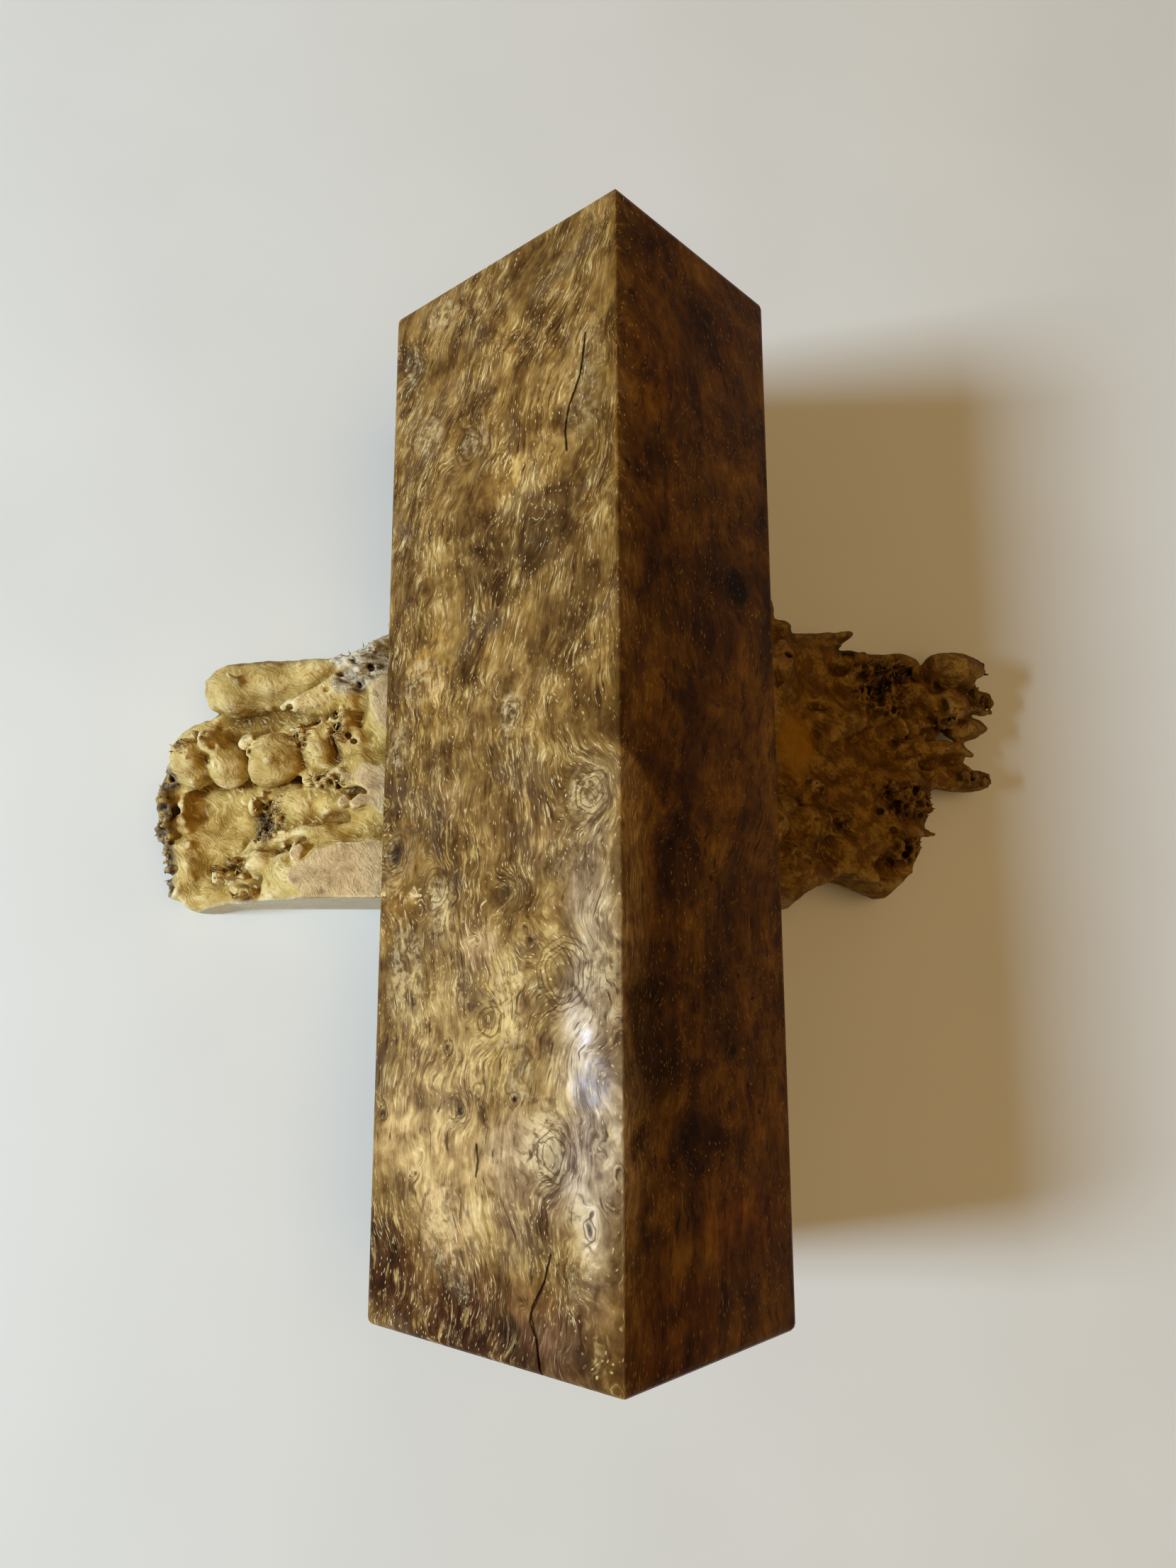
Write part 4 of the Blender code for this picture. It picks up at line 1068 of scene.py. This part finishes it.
def raw_material():
    """Pale yellow wood with bark, broken fibres and sawn faces, with painted shade in its hollows and creases,
    on sides turned from the key light, under the block and over the far lobe, and, with the wood's own browner
    tone, towards the right end, and a painted highlight on its crests.
    """
    s = Shader("raw burl wood")
    crease_light_and_shade = s.note("crease_light_and_shade")
    curled = s.warp(s.warp(s.place, 8.0, 4.0), 2.4, 0.9)
    across, along, up = s.parts(curled)
    grain = s.join((across + along) * 1.2, up * 1.2, (across - along) * 0.16)
    curls = s.noise(grain, 1.0, 3.0, 0.66)
    wood = grown_wood(s, crease_light_and_shade, curls)
    crust = s.note("crust")
    strands = s.noise(s.vector("MULTIPLY", s.place, (1.0, 1.0, 0.35)), 0.8, 3.0, 0.65)
    # Painted shade: the broken fibres are darker in creases
    broken = s.ramp(strands + (crease_light_and_shade - 0.5) * -0.9, BROKEN_STOPS)
    wood = bark_over(s, s.mix(crust * 0.8, wood, broken), crease_light_and_shade)
    hatch = s.noise(s.vector("MULTIPLY", s.place, (3.2, 0.5, 3.2)), 1.0, 2.0)
    wood = sawn_over(s, wood, hatch)
    # Painted shade where the block's shadow falls on the right end, partly the wood's own browner colour
    tone_and_shade_right = right_end_tone_and_shade(s)
    wood = s.mix(tone_and_shade_right, wood, (0.34, 0.22, 0.034), "MULTIPLY")
    mottled = s.band(s.noise(s.warp(s.place, 6.0, 2.0), 3.4, 4.0, 0.70), 0.44, 0.56)
    wood = s.mix(mottled * tone_and_shade_right, wood, (0.5, 0.42, 0.32), "MULTIPLY")
    # Painted shade in dark amber under the block's overhang on the right
    shade_under_block = s.away(curled, (44.5, 12.5, 27.0), (4.6, 8.0, 9.0))
    wood = s.mix(s.band(shade_under_block, 1.3, 0.5, 0.0, 0.8), wood, (0.36, 0.16, 0.010))
    # Painted shade: the far lobe on the left is darkened
    lobe_shade = s.away(curled, (-73.0, 28.0, 14.0), (18.0, 8.0, 12.0))
    wood = s.mix(s.band(lobe_shade, 1.2, 0.6), wood, (0.72, 0.67, 0.55), "MULTIPLY")
    fine = s.bump(curls * 0.8 + strands * crust, 0.6)
    normal = s.bump(hatch, 0.03, fine)
    return s.finish(wood, s.band(curls, 0.3, 0.7, 0.72, 0.52), normal, Specular_IOR_Level=0.08)


def fibre_material():
    """Broken fibres: brown, straw and pale, darker towards the right end with painted shade, partly their own
    browner colour.
    """
    s = Shader("raw burl fibre")
    colour = s.ramp(s.noise(s.place, 2.2, 2.0), FIBRE_STOPS)
    # Painted shade towards the right end, partly the fibres' own browner colour
    colour = s.mix(right_end_tone_and_shade(s), colour, (0.34, 0.21, 0.05), "MULTIPLY")
    return s.finish(colour, 0.7, Specular_IOR_Level=0.08)


# Eyes of the polished block: how far down from the ridge on the wide face and on the narrow face, how far
# along, the radius of the rings, and how dark the middle is
EYES = (
    (38.3, 0, 63.5, 4.2, 0.3), (56.2, 0, 88, 3.6, 0.3), (25.4, 0, 7.7, 2.6, 0.5), (56.8, 0, -15.6, 4.4, 0.9),
    (37.2, 0, -62, 2.6, 0.9), (6, 0, -9, 4.5, 0.1), (44.9, 0, -22.8, 4.5, 0.2), (26.4, 0, -24.5, 3.2, 0.7),
    (12.5, 0, -38.4, 6.5, 0.3), (30.1, 0, -46.6, 3.5, 0.4), (14.7, 0, -68, 4.6, 0.3), (7, 0, -78.5, 1.9, 0.9),
    (32.5, 0, -58.5, 1.5, 1), (23.5, 0, -58.9, 1.5, 1), (40.1, 0, -51.6, 1.7, 0.9), (58.2, 0, -64.1, 2, 0.8),
    (0, 35.2, 33.9, 4.4, 1), (0, 30.3, -51.8, 2.2, 0.9), (0, 16, -66, 2, 0.9), (0, 20.5, -71, 1.6, 0.9),
    (0, 27.8, -40.7, 1.7, 0.8), (0, 40, -39, 1.2, 0.8), (0, 37, -43, 1.2, 0.8), (0, 9.5, -45.3, 2.4, 0.7),
)

# Spacing of the rings in an eye
EYE_RING = 1.15

# Colours of the polished wood from its darkest to its brightest figure
WOOD_STOPS = (
    (0.39, (0.034, 0.014, 0.003)), (0.445, (0.095, 0.042, 0.01)), (0.5, (0.195, 0.1, 0.024)),
    (0.555, (0.34, 0.19, 0.052)), (0.62, (0.56, 0.37, 0.135)),
)

# Islands of curled figure: the same three places, the half widths across and along, and how pale the middle
# is, or how dark where it is below 0
ISLANDS = (
    (53.3, 0, -37.9, 5.2, 8.6, 0.75), (25, 0, -43.7, 4, 10.5, 0.8), (5.4, 0, -37.6, 5, 5.6, 0.8),
    (7.3, 0, -8.6, 4.8, 5.2, 0.95), (16.6, 0, -66.1, 5, 6.8, 0.95), (22.6, 0, -56, 4, 4.2, 0.7),
    (46.8, 0, 96, 5, 4.6, 0.6), (56.1, 0, 88, 3.4, 4.8, 0.8), (35.9, 0, 63.1, 3.2, 4.2, 0.65),
    (49.8, 0, 69.2, 4.4, 4, 0.65), (56.2, 0, -15.9, 4.4, 5, 0.4), (43.5, 0, -25, 5, 4.6, 0.95),
    (25.3, 0, -25.1, 5, 3.6, -0.35), (41, 0, -82, 5.6, 7, 0.7), (37.5, 0, -90.5, 4.2, 3.8, 0.45),
    (8.9, 0, -77.6, 3.4, 4.2, 0.55), (8.2, 0, -86, 3.6, 4, 0.5), (57.1, 0, 5.7, 3.8, 5.4, 0.7),
    (25.7, 0, 7.6, 2.8, 3.6, 0.95), (49.9, 0, 18.7, 6.6, 6, 0.7), (7.9, 0, 66, 4.6, 13, 0.35),
    (17.2, 0, 41.2, 7.4, 7.8, -0.75), (12.4, 0, -19.5, 5, 4, 0.3), (0, 15.5, -19.1, 6.6, 8.4, -0.75),
    (0, 25.9, -41.7, 5.4, 9.6, -0.5), (0, 19.4, -66.6, 5, 5.4, -0.65), (0, 31.1, 86.6, 5.2, 8, -0.3),
    (0, 11.9, 53.5, 5, 6, -0.4), (0, 35.4, 34.5, 4.2, 3.4, -0.95), (0, 8.5, -47, 7, 9, -0.7),
    (0, 38, -38, 3.4, 8, 0.2),
)

# Broad tones of the block, and painted sheen: the bluish brightening low on the wide face and beside the ridge
# there is painted sheen, the rest is the wood's own tone. Each: the same three places, the half widths across
# and along, and what the colour is multiplied by there
TONES_AND_SHEEN = (
    (22, 0, 53.5, 14, 4, (1.45, 1.5, 1.5)), (30, 0, 36, 9, 7, (0.62, 0.58, 0.6)),
    (58, 0, 45, 5, 12, (0.75, 0.72, 0.75)), (44, 0, 60, 14, 8, (0.8, 0.78, 0.8)),
    (34, 0, 92, 14, 6, (0.85, 0.82, 0.9)), (10, 0, 26, 8, 8, (0.8, 0.77, 0.82)),
    (49, 0, 18, 8, 9, (1.4, 1.35, 1.05)), (26, 0, 12, 9, 7, (1.1, 1.12, 1.25)),
    (45, 0, -5, 9, 10, (0.78, 0.74, 0.78)), (25, 0, -12, 12, 8, (0.92, 0.88, 0.95)),
    (56, 0, -27, 5, 6, (1.3, 1.28, 1.2)), (43, 0, -25, 6, 5, (1.35, 1.4, 1.5)),
    (35, 0, -32, 6, 6, (1, 0.98, 1.2)), (11, 0, -18, 9, 12, (1.12, 1.18, 1.5)),
    (4, 0, -50, 8, 44, (1.25, 1.45, 2.3)), (45, 0, -66, 15, 15, (1.5, 1.6, 1.9)),
    (26, 0, -46, 8, 12, (1.4, 1.45, 1.4)), (20, 0, -72, 11, 11, (1.05, 1.1, 1.6)),
    (41, 0, -82, 8, 7, (1.15, 1.15, 1.3)), (56, 0, -91, 8, 9, (0.55, 0.42, 0.42)),
    (36, 0, -94, 9, 7, (0.85, 0.72, 0.8)), (20, 0, -99, 18, 6, (0.65, 0.62, 0.85)),
    (25, 0, -96.5, 2.6, 5.5, (0.3, 0.27, 0.32)), (7, 0, -54, 4.5, 6, (0.6, 0.64, 0.85)),
    (34, 0, -58, 32, 28, (1.6, 1.82, 2.5)), (6, 0, -60, 9, 36, (1.6, 1.85, 2.7)),
    (30, 0, -96, 36, 11, (0.62, 0.52, 0.6)), (30, 0, 70, 26, 20, (1.12, 1.1, 1.05)),
    (0, 22, 30, 15, 13, (0.62, 0.55, 0.5)), (0, 12, 70, 9, 14, (1.35, 1.3, 1.1)),
    (0, 31, 87, 6, 10, (0.8, 0.7, 0.6)), (0, 36, 4, 10, 24, (1.3, 1.35, 1.2)),
    (0, 34, -60, 12, 8, (1.3, 1.3, 1.2)), (0, 30, -80, 14, 7, (1.45, 1.3, 1.1)),
    (0, 12, -93, 14, 8, (0.8, 0.66, 0.5)), (0, 6, -46, 7, 12, (0.5, 0.46, 0.55)),
)

# Open cracks of the block, down the wide face and along, each drawn as a dark line of painted shade
CRACKS = (
    ((7.3, 75.2), (8.4, 68), (11.3, 62.4), (12.3, 57.8), (11.8, 54)),
    ((15.2, -83), (16.5, -87.2), (19.5, -92.5), (18.2, -96.2), (17.2, -103)),
    ((32.9, -67.6), (32.4, -70.2), (32.9, -72.8)),
)


def block_place(s):
    """Places measured on the block: down the wide face from the ridge, along it, and down the narrow face."""
    half = math.sqrt(0.5)
    from_ridge = s.vector("SUBTRACT", s.place, (RIDGE_X, 0.0, RIDGE_HEIGHT))
    wide = s.vector("DOT_PRODUCT", from_ridge, (-half, 0, -half))
    narrow = s.vector("DOT_PRODUCT", from_ridge, (half, 0, -half))
    return wide, s.parts(from_ridge)[1], narrow


def burl_flow(s, place):
    """The figure's coordinates, across and along the grain, and the gently bent place they come from."""
    bent = s.warp(s.warp(s.warp(place, 36.0, 6.5), 10.0, 1.9), 2.8, 0.42)
    down_wide, along, down_narrow = s.parts(bent)
    high = s.math("MAXIMUM", along, 0.0)
    slant_wide = high * high * 0.0034
    late = s.math("MAXIMUM", along, -20.0) - 35.0
    slant_narrow = late * late * 0.0042
    on_narrow = s.band(down_narrow - down_wide, -9.0, 9.0)
    slant = on_narrow * slant_narrow + (1.0 - on_narrow) * slant_wide
    flow = down_wide + down_narrow + slant
    return flow, along, down_wide - down_narrow, bent, on_narrow


def drawn_out(s, course, across, length):
    """Places along the grain, in steps of that width and length."""
    flow, run, side = course
    return s.join(flow / across, run / length, side / length)


def strokes(s, course, across, length, detail=1.0, roughness=0.5):
    """Noise drawn out along the grain: how wide and how long its strokes are."""
    return s.noise(drawn_out(s, course, across, length), 1.0, detail, roughness)


def blended(parts):
    return sum(value * share for value, share in parts)


def eyes(s, loose):
    """How far the eyes lift the grain, how dark their middles are, and where their rings show."""
    lift, dark, ringed = 0.0, 0.0, 0.0
    for down_wide, down_narrow, at, radius, darkness in EYES:
        away = s.vector("DISTANCE", loose, (down_wide, at, down_narrow))
        near = s.band(away, radius * 2.0, 0.0)
        lift = lift + near * (radius * 1.5)
        dark = s.math("MAXIMUM", dark, s.band(away, radius * 0.62, radius * 0.2, 0.0, darkness))
        wave = s.math("SINE", away * (2 * math.pi / EYE_RING))
        zone = s.band(away, radius * 1.25, radius * 0.8) * s.band(away, radius * 0.3, radius * 0.5)
        ringed = s.math("MAXIMUM", ringed, s.band(wave, 0.1, 1.0) * zone)
    return lift, dark, ringed


def tones_and_sheen(s, place):
    """What the colour is multiplied by on the wide face, painted sheen low down included, and on the narrow
    face.
    """
    wide_tone_and_sheen, narrow_tone = (1.0, 1.0, 1.0), (1.0, 1.0, 1.0)
    for down_wide, down_narrow, at, half_across, half_along, tint in TONES_AND_SHEEN:
        toned = s.band(s.away(place, (down_wide, at, down_narrow), (half_across, half_along, half_across)),
                       1.3, 0.5)
        if down_wide:
            wide_tone_and_sheen = s.mix(toned, wide_tone_and_sheen, tint, "MULTIPLY")
        else:
            narrow_tone = s.mix(toned, narrow_tone, tint, "MULTIPLY")
    return wide_tone_and_sheen, narrow_tone


def islands(s, place, ragged):
    """Where the pale and the deep islands lie, and the dark lines round them."""
    pale, deep, edged = 0.0, 0.0, 0.0
    for down_wide, down_narrow, at, half_across, half_along, paleness in ISLANDS:
        away = s.away(ragged, (down_wide, at, down_narrow), (half_across, half_along, half_across))
        if paleness > 0:
            pale = s.math("MAXIMUM", pale, s.band(away, 1.15, 0.60, 0.0, paleness))
        else:
            deep = s.math("MAXIMUM", deep, s.band(away, 1.12, 0.85, 0.0, -paleness))
        off_edge = s.math("ABSOLUTE", away - 1.14)
        edged = s.math("MAXIMUM", edged, s.band(off_edge, 0.16, 0.0, 0.0, 0.7))
    return pale, deep, edged * s.band(s.noise(place, 5.0, 2.0), 0.46, 0.64)


def crack_shade(s, trembling):
    """How deep in a crack each place lies, for the painted shade in the cracks."""
    crack_shade_mask = 0.0
    for crack in CRACKS:
        for (from_down, from_along), (to_down, to_along) in zip(crack, crack[1:]):
            first, step = (from_down, from_along, 0.0), (to_down - from_down, to_along - from_along, 0.0)
            offset = s.vector("SUBTRACT", trembling, first)
            share = s.math("DIVIDE", s.vector("DOT_PRODUCT", offset, step), step[0] ** 2 + step[1] ** 2,
                           clamp=True)
            away = s.vector("LENGTH", s.vector("SUBTRACT", offset, s.vector("SCALE", step, scale=share)))
            crack_shade_mask = s.math("MAXIMUM", crack_shade_mask, s.band(away, 0.42, 0.10, 0.0, 0.9))
    return crack_shade_mask


def polished_material():
    """Amboyna burl under a satin polish: golden strokes, eyes with rings, dark drifts and bright pores, with
    painted sheen low on the wide face, painted glints in the pores, and painted shade in the cracks and over
    the narrow face.
    """
    s = Shader("polished burl")
    wide, along, narrow = block_place(s)
    place = s.join(wide, along, narrow)
    flow, run, side, bent, on_narrow = burl_flow(s, place)
    loose = s.warp(s.warp(place, 5.0, 1.5), 1.6, 0.35)
    lift, dark, ringed = eyes(s, loose)
    # Painted sheen: the bluish brightening low on the wide face comes in with these tones
    wide_tone_and_sheen, narrow_tone = tones_and_sheen(s, s.warp(s.warp(place, 14.0, 5.0), 4.0, 1.2, 2.0))
    pale, deep, edged = islands(s, place, s.warp(s.warp(place, 9.0, 3.0), 2.6, 1.0, 2.0))
    small_away, small_pick = s.cells(s.warp(place, 4.0, 1.0), 7.0)
    small_near = s.band(small_away, 2.6, 0.0) * s.band(small_pick, 0.45, 0.55)
    lift = lift + small_near * 2.4
    spots = s.band(small_away, 0.75, 0.3) * s.band(small_pick, 0.7, 0.76, 0.0, 0.8)
    spots = spots * s.band(along, 5.0, -25.0, 0.15, 1.0)
    dark = s.math("MAXIMUM", dark, spots)
    lively = s.band(s.noise(s.warp(place, 9.0, 3.0), 15.0, 2.0), 0.37, 0.57, 0.15, 1.0)
    lively = lively * s.band(on_narrow, 0.0, 1.0, 1.0, 0.15)
    lively = lively * (1.0 - deep)
    course = (flow + lift, run, side)
    coarse = strokes(s, course, 1.1, 5.0, 3.0, 0.62)
    streaks = strokes(s, course, 0.48, 3.2, 3.0, 0.62)
    bands = strokes(s, course, 4.6, 14.0, 2.0, 0.55)
    drift = s.noise(bent, 13.0, 3.0, 0.6)
    clumps = s.noise(bent, 4.6, 2.0, 0.55)
    curl = s.noise(s.warp(s.warp(place, 4.0, 2.0), 1.6, 0.6), 2.4, 4.0, 0.62)
    calm = 0.45 + lively * 0.7
    stirred = (blended(((coarse, 0.34), (streaks, 0.26))) - 0.3) * calm
    shine = blended(((bands, 0.34), (drift, 0.50), (clumps, 0.22), (curl, 0.22)))
    shine = shine + (stirred + 0.3)
    wood = s.ramp(shine * 0.534, WOOD_STOPS)
    wood = s.mix(1.0, wood, s.mix(on_narrow, wide_tone_and_sheen, narrow_tone), "MULTIPLY")
    smoke = s.band(s.noise(s.warp(place, 12.0, 5.0), 16.0, 3.0, 0.6), 0.53, 0.66, 0.0, 0.42)
    wood = s.mix(smoke, wood, (0.120, 0.072, 0.042))
    wood = s.mix(deep, wood, (0.24, 0.17, 0.20), "MULTIPLY")
    golden = s.band(coarse, 0.52, 0.66, 0.0, 0.6) * (s.band(clumps, 0.44, 0.6) * lively)
    wood = s.mix(golden, wood, (0.60, 0.41, 0.145))
    bright = s.band(streaks, 0.54, 0.68, 0.0, 0.7) * s.band(s.noise(bent, 6.5, 2.0), 0.46, 0.6)
    bright = bright * lively
    wood = s.mix(bright, wood, (0.86, 0.67, 0.34))
    curly = s.noise(s.warp(loose, 1.4, 0.6), 1.9, 3.0, 0.66)
    wood = s.mix(pale * s.band(curly, 0.44, 0.62, 0.05, 0.62), wood, (0.76, 0.58, 0.31))
    wood = s.mix(pale * s.band(curly, 0.47, 0.37, 0.0, 0.7), wood, (0.105, 0.056, 0.024))
    wood = s.mix(edged, wood, (0.070, 0.034, 0.014))
    lines = s.band(strokes(s, course, 0.7, 6.5, 2.0), 0.42, 0.31, 0.0, 0.82) * s.band(clumps, 0.62, 0.42)
    wood = s.mix(lines, wood, (0.050, 0.021, 0.007))
    hairs = s.band(strokes(s, course, 0.3, 5.0, 1.0), 0.66, 0.76, 0.0, 0.7) * s.band(drift, 0.42, 0.58)
    wood = s.mix(hairs * calm, wood, (0.9, 0.74, 0.42))
    wood = s.mix(ringed * 0.65, wood, (0.075, 0.036, 0.014))
    wood = s.mix(dark, wood, (0.024, 0.011, 0.006))
    pore_away, pore_pick = s.cells(drawn_out(s, course, 0.46, 1.5), 1.0)
    pore_zone = s.band(s.noise(place, 15.0, 2.0), 0.34, 0.52, 0.15, 1.0)
    # Pale pore specks, partly painted glints off the pores' edges
    pore_specks_and_glints = s.band(pore_away, 0.28, 0.12, 0.0, 0.8) * (s.band(pore_pick, 0.4, 0.5) * pore_zone)
    wood = s.mix(pore_specks_and_glints, wood, (0.82, 0.62, 0.30))
    # Painted shade: the cracks are drawn near black
    crack_shade_mask = crack_shade(s, s.warp(place, 1.6, 0.30, 2.0))
    wood = s.mix(crack_shade_mask, wood, (0.012, 0.006, 0.003))
    # Painted shade: the whole narrow face, turned from the key light, is darkened
    wood = s.mix(on_narrow * 0.95, wood, (0.42, 0.285, 0.034), "MULTIPLY")
    normal = s.bump(streaks - pore_specks_and_glints, 0.03)
    return s.finish(wood, s.band(coarse, 0.3, 0.7, 0.36, 0.27), normal, Specular_IOR_Level=0.03)


# The stage, its lights and the camera

def floor():
    ends = (-FLOOR_REACH, FLOOR_REACH)
    plane = add_mesh("floor", [(x, y, 0) for y in ends for x in ends], [(0, 1, 3, 2)])
    s = Shader("pale floor")
    colour = s.ramp(s.noise(s.place, 60.0, 2.0), ((0.3, (0.79, 0.79, 0.78)), (0.7, (0.83, 0.83, 0.82))))
    plane.data.materials.append(s.finish(colour, 0.6))
    return plane


def area_light(name, place, target, size, power, colour):
    light = bpy.data.lights.new(name, "AREA")
    light.size = size
    light.energy = power
    light.color = colour
    thing = add_object(name, light)
    thing.location = place
    thing.rotation_mode = "QUATERNION"
    thing.rotation_quaternion = (Vector(target) - Vector(place)).to_track_quat("-Z", "Y")


def light_stage():
    for name, settings in LIGHTS.items():
        area_light(name, *settings)
    world = bpy.data.worlds.new("studio")
    world.use_nodes = True
    backdrop = world.node_tree.nodes["Background"]
    backdrop.inputs["Color"].default_value = BACKDROP_COLOUR
    backdrop.inputs["Strength"].default_value = BACKDROP_STRENGTH
    bpy.context.scene.world = world
    bpy.context.scene.view_settings.view_transform = "Standard"


def photo_camera():
    camera = bpy.data.cameras.new("camera")
    camera.sensor_width = SENSOR
    camera.lens = FOCAL_PIXELS / PHOTO_HEIGHT * SENSOR
    camera.clip_start = 0.01
    camera.clip_end = 20.0
    thing = add_object("camera", camera)
    turn = Vector([math.radians(angle) for angle in CAMERA_TURN])
    ridge = Vector((RIDGE_X, 0.0, RIDGE_HEIGHT))
    place = (ridge + Vector(CAMERA_FROM_RIDGE)) * MM
    thing.matrix_world = Matrix.Translation(place) @ Matrix.Rotation(turn.length, 4, turn)
    bpy.context.scene.camera = thing


def dress_block(block):
    block.data.materials.clear()
    block.data.materials.append(polished_material())


def corners(box):
    return [[round(value, 6) for value in corner] for corner in box]


photo_camera()
light_stage()
floor()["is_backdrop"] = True
dress_block(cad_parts["polished_block"])
skin, fibres = raw_burl()
for piece in (skin, fibres):
    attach(piece, "root")
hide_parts("raw_burl_stand")

{"cad": corners(cad_box), "visual": corners(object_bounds())}
